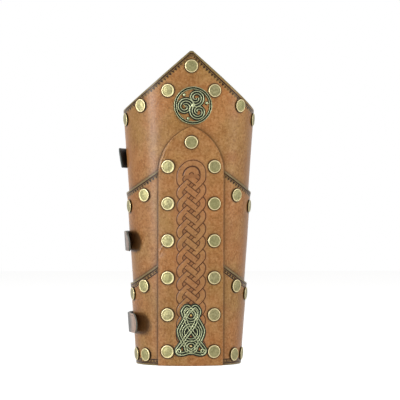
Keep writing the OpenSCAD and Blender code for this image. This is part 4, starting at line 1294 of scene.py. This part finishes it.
print("tools for ornaments: on_front, cast_bands, cast_beads, joined")

# %% The medallion
# Three spirals run out of the middle and weave through each other inside a double-ribbed rim
medal_x, medal_z, medal_r, middle_bead_r, bead_r = 1.4, guard_h - 46.6, 15.8, 2.3, 1.5
spiral_at, spiral_turns, spiral_eye, bead_at, band_w, band_h, web_h = 6.7, 1.3, 1.3, 11.6, 2.9, 1.25, 0.5


def around(radius, facing):
    """A place at a radius and a turn from straight up."""
    return radius * math.sin(math.radians(facing)), radius * math.cos(math.radians(facing))


arms = [curl(spiral_eye, spiral_at, spiral_turns, *around(spiral_at, a), a + 180 - 360 * spiral_turns)
        for a in (20, 140, 260)]
medal_at = (0, medal_x, medal_z)
beads = [(0, 0, middle_bead_r), *((*around(bead_at, a), bead_r) for a in (80, 200, 320))]
medallion = joined("interlaced_medallion", [
    cast_bands("medal_arms", arms, banding, medal_at, band_w, band_h, rise=0.6),
    cast_bands("medal_rim", [circle(medal_r - 1.2, count=120)], banding, medal_at, width=2.4, height=1.7),
    cast_bands("medal_web", arms, webbing, medal_at, width=4.6, height=web_h, rise=0.1),
    cast_beads("medal_beads", beads, medal_at, height=2.0)])
finish_piece(medallion, "antique_brass", "medallion")

# %% The wrist plaque
# One endless band swings from side to side three times while it climbs and drops twice, inside a waisted
# outline, and three rings are threaded through it
plaque_z, plaque_w, plaque_h, margin, scroll_x, scroll_z = 9.0, 26.8, 43.0, 1.5, 9.6, 3.6
waist_at, waist_share = [0, 5, 11, 21, 31, 37, 43], np.array([0.5, 0.49, 0.42, 0.44, 0.31, 0.33, 0.2])
turn = np.linspace(0, 2 * math.pi, 420, endpoint=False)
climb = margin + (plaque_h - 2 * margin) * (0.5 - 0.5 * np.cos(2 * turn))
swing = (np.interp(climb, waist_at, waist_share * plaque_w) - margin) * np.sin(3 * turn + math.pi / 4)
rings = ((6.4, 19.5, 72), (4.6, 34.5, 48), (4.4, 7.2, 48))
knots = [(np.stack([swing, climb], -1), True), *(circle(r, 0, z, count) for r, z, count in rings)]
scrolls = [curl(1.0, 2.9, 0.9, hand * scroll_x, scroll_z, 180 + hand * 60, hand) for hand in (-1, 1)]
plaque_at = (3, 0, plaque_z)
plaque = joined("interlaced_wrist_plaque", [
    cast_bands("plaque_knot", knots, banding, plaque_at, band_w, band_h, rise=0.6),
    cast_bands("plaque_web", knots, webbing, plaque_at, width=5.0, height=web_h, rise=0.1),
    cast_bands("plaque_scrolls", scrolls, cording, plaque_at, width=1.4, height=1.3)])
finish_piece(plaque, "antique_brass", "wrist_plaque")

# %% [markdown]
# ## Buckles and posts
# The buckle frames, their prongs and the posts of the ornaments keep their exact CAD shapes, because bent
# wire and turned pins are what those solids already are. They get brass that is brighter in a soft random
# haze.

# %% Drawn brass for the buckles
buckle_brass, tree, place = new_material("drawn_buckle_brass")
haze, fine = (add(tree, NOISE, {"Vector": place, "Scale": 1000 / size, "Detail": 3.0}) for size in (3.5, 0.8))
skin = painted(tree, "B59A58", ((haze, 0.35, 0.65, 1.0, "D9C389"),))
shown = [node for name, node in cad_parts.items() if name.endswith(("_buckle", "_prong", "_posts"))]
finish_material(buckle_brass, tree, (0.12, 0.0002, fine), {
    "Base Color": skin, "Metallic": 1.0, "Roughness": add(tree, RANGE, (haze, 0.3, 0.7, 0.24, 0.38), **EASE)},
    *shown)

# %% [markdown]
# ## Floor, light and backdrop
# The photograph is a cut-out on white. The guard stands on a pale floor that the camera sees as white
# except where the guard shades it. Soft lamps stand where the highlights and shadows say that they stood: a
# narrow one far to the left, which throws the shadows of the strap ends, a wide one to the right of the
# camera, and two tall strips whose reflections run down the two flanks.

# %% Floor and backdrop
def seen_white(tree, least, most):
    """Light for rays that should meet a white studio: camera, transmission and glossy rays get the most."""
    path = add(tree, "ShaderNodeLightPath", out=None).outputs
    seen = add(tree, MATH, (path["Is Camera Ray"], path["Is Transmission Ray"]), **HIGHER)
    seen = add(tree, MATH, (seen, path["Is Glossy Ray"]), **HIGHER)
    return add(tree, RANGE, (seen, 0.0, 1.0, least, most))


world = bpy.data.worlds.new("studio_surround")
bpy.context.scene.world = world
world.use_nodes = True
tree = world.node_tree
tree.nodes.clear()
glow = add(tree, "ShaderNodeBackground", ("FFFFFF", seen_white(tree, 0.05, 1.0)))
add(tree, "ShaderNodeOutputWorld", {"Surface": glow})

floor_half, floor_z = 2600, -0.2
corners = [(x * floor_half, y * floor_half, floor_z) for x, y in ((-1, -1), (1, -1), (1, 1), (-1, 1))]
floor = new_mesh("pale_floor", corners, [(0, 1, 2, 3)])
floor_paint, tree, _ = new_material("pale_studio_paper")
paper = add(tree, "ShaderNodeBsdfDiffuse", {"Color": "E6E4E1"})
lift = add(tree, "ShaderNodeEmission", ("FFFFFF", seen_white(tree, 0.0, 0.9)))
add(tree, OUTPUT, {"Surface": add(tree, "ShaderNodeAddShader", (paper, lift))})
wear(floor_paint, floor)
print("stage:", floor.name)

# %% Lamps
half_way_up = 0.14


def lamp(name, facing, raised, far, size, tall, power, **seen_by):
    """A soft lamp that looks at the middle of the guard."""
    data = bpy.data.lights.new(name, "AREA")
    data.shape, data.size, data.size_y, data.energy = "RECTANGLE", size, tall, power
    made = bpy.data.objects.new(name, data)
    bpy.context.scene.collection.objects.link(made)
    a, b = math.radians(facing), math.radians(raised)
    way = Vector((math.sin(a) * math.cos(b), -math.cos(a) * math.cos(b), math.sin(b)))
    made.location = way * far + Vector((0, 0, half_way_up))
    made.rotation_euler = (-way).to_track_quat("-Z", "Y").to_euler()
    for key, value in seen_by.items():
        setattr(made, key, value)
    return made


lamp("left_key", facing=-88, raised=8, far=1.4, size=0.16, tall=0.5, power=12, visible_glossy=False)
lamp("left_strip", facing=-57, raised=12, far=1.3, size=0.3, tall=0.9, power=27, visible_diffuse=False)
lamp("right_softbox", facing=74, raised=14, far=1.4, size=0.4, tall=0.9, power=7, visible_diffuse=False)
lamp("front_fill", facing=25, raised=30, far=1.8, size=0.8, tall=0.8, power=24.5, visible_glossy=False)
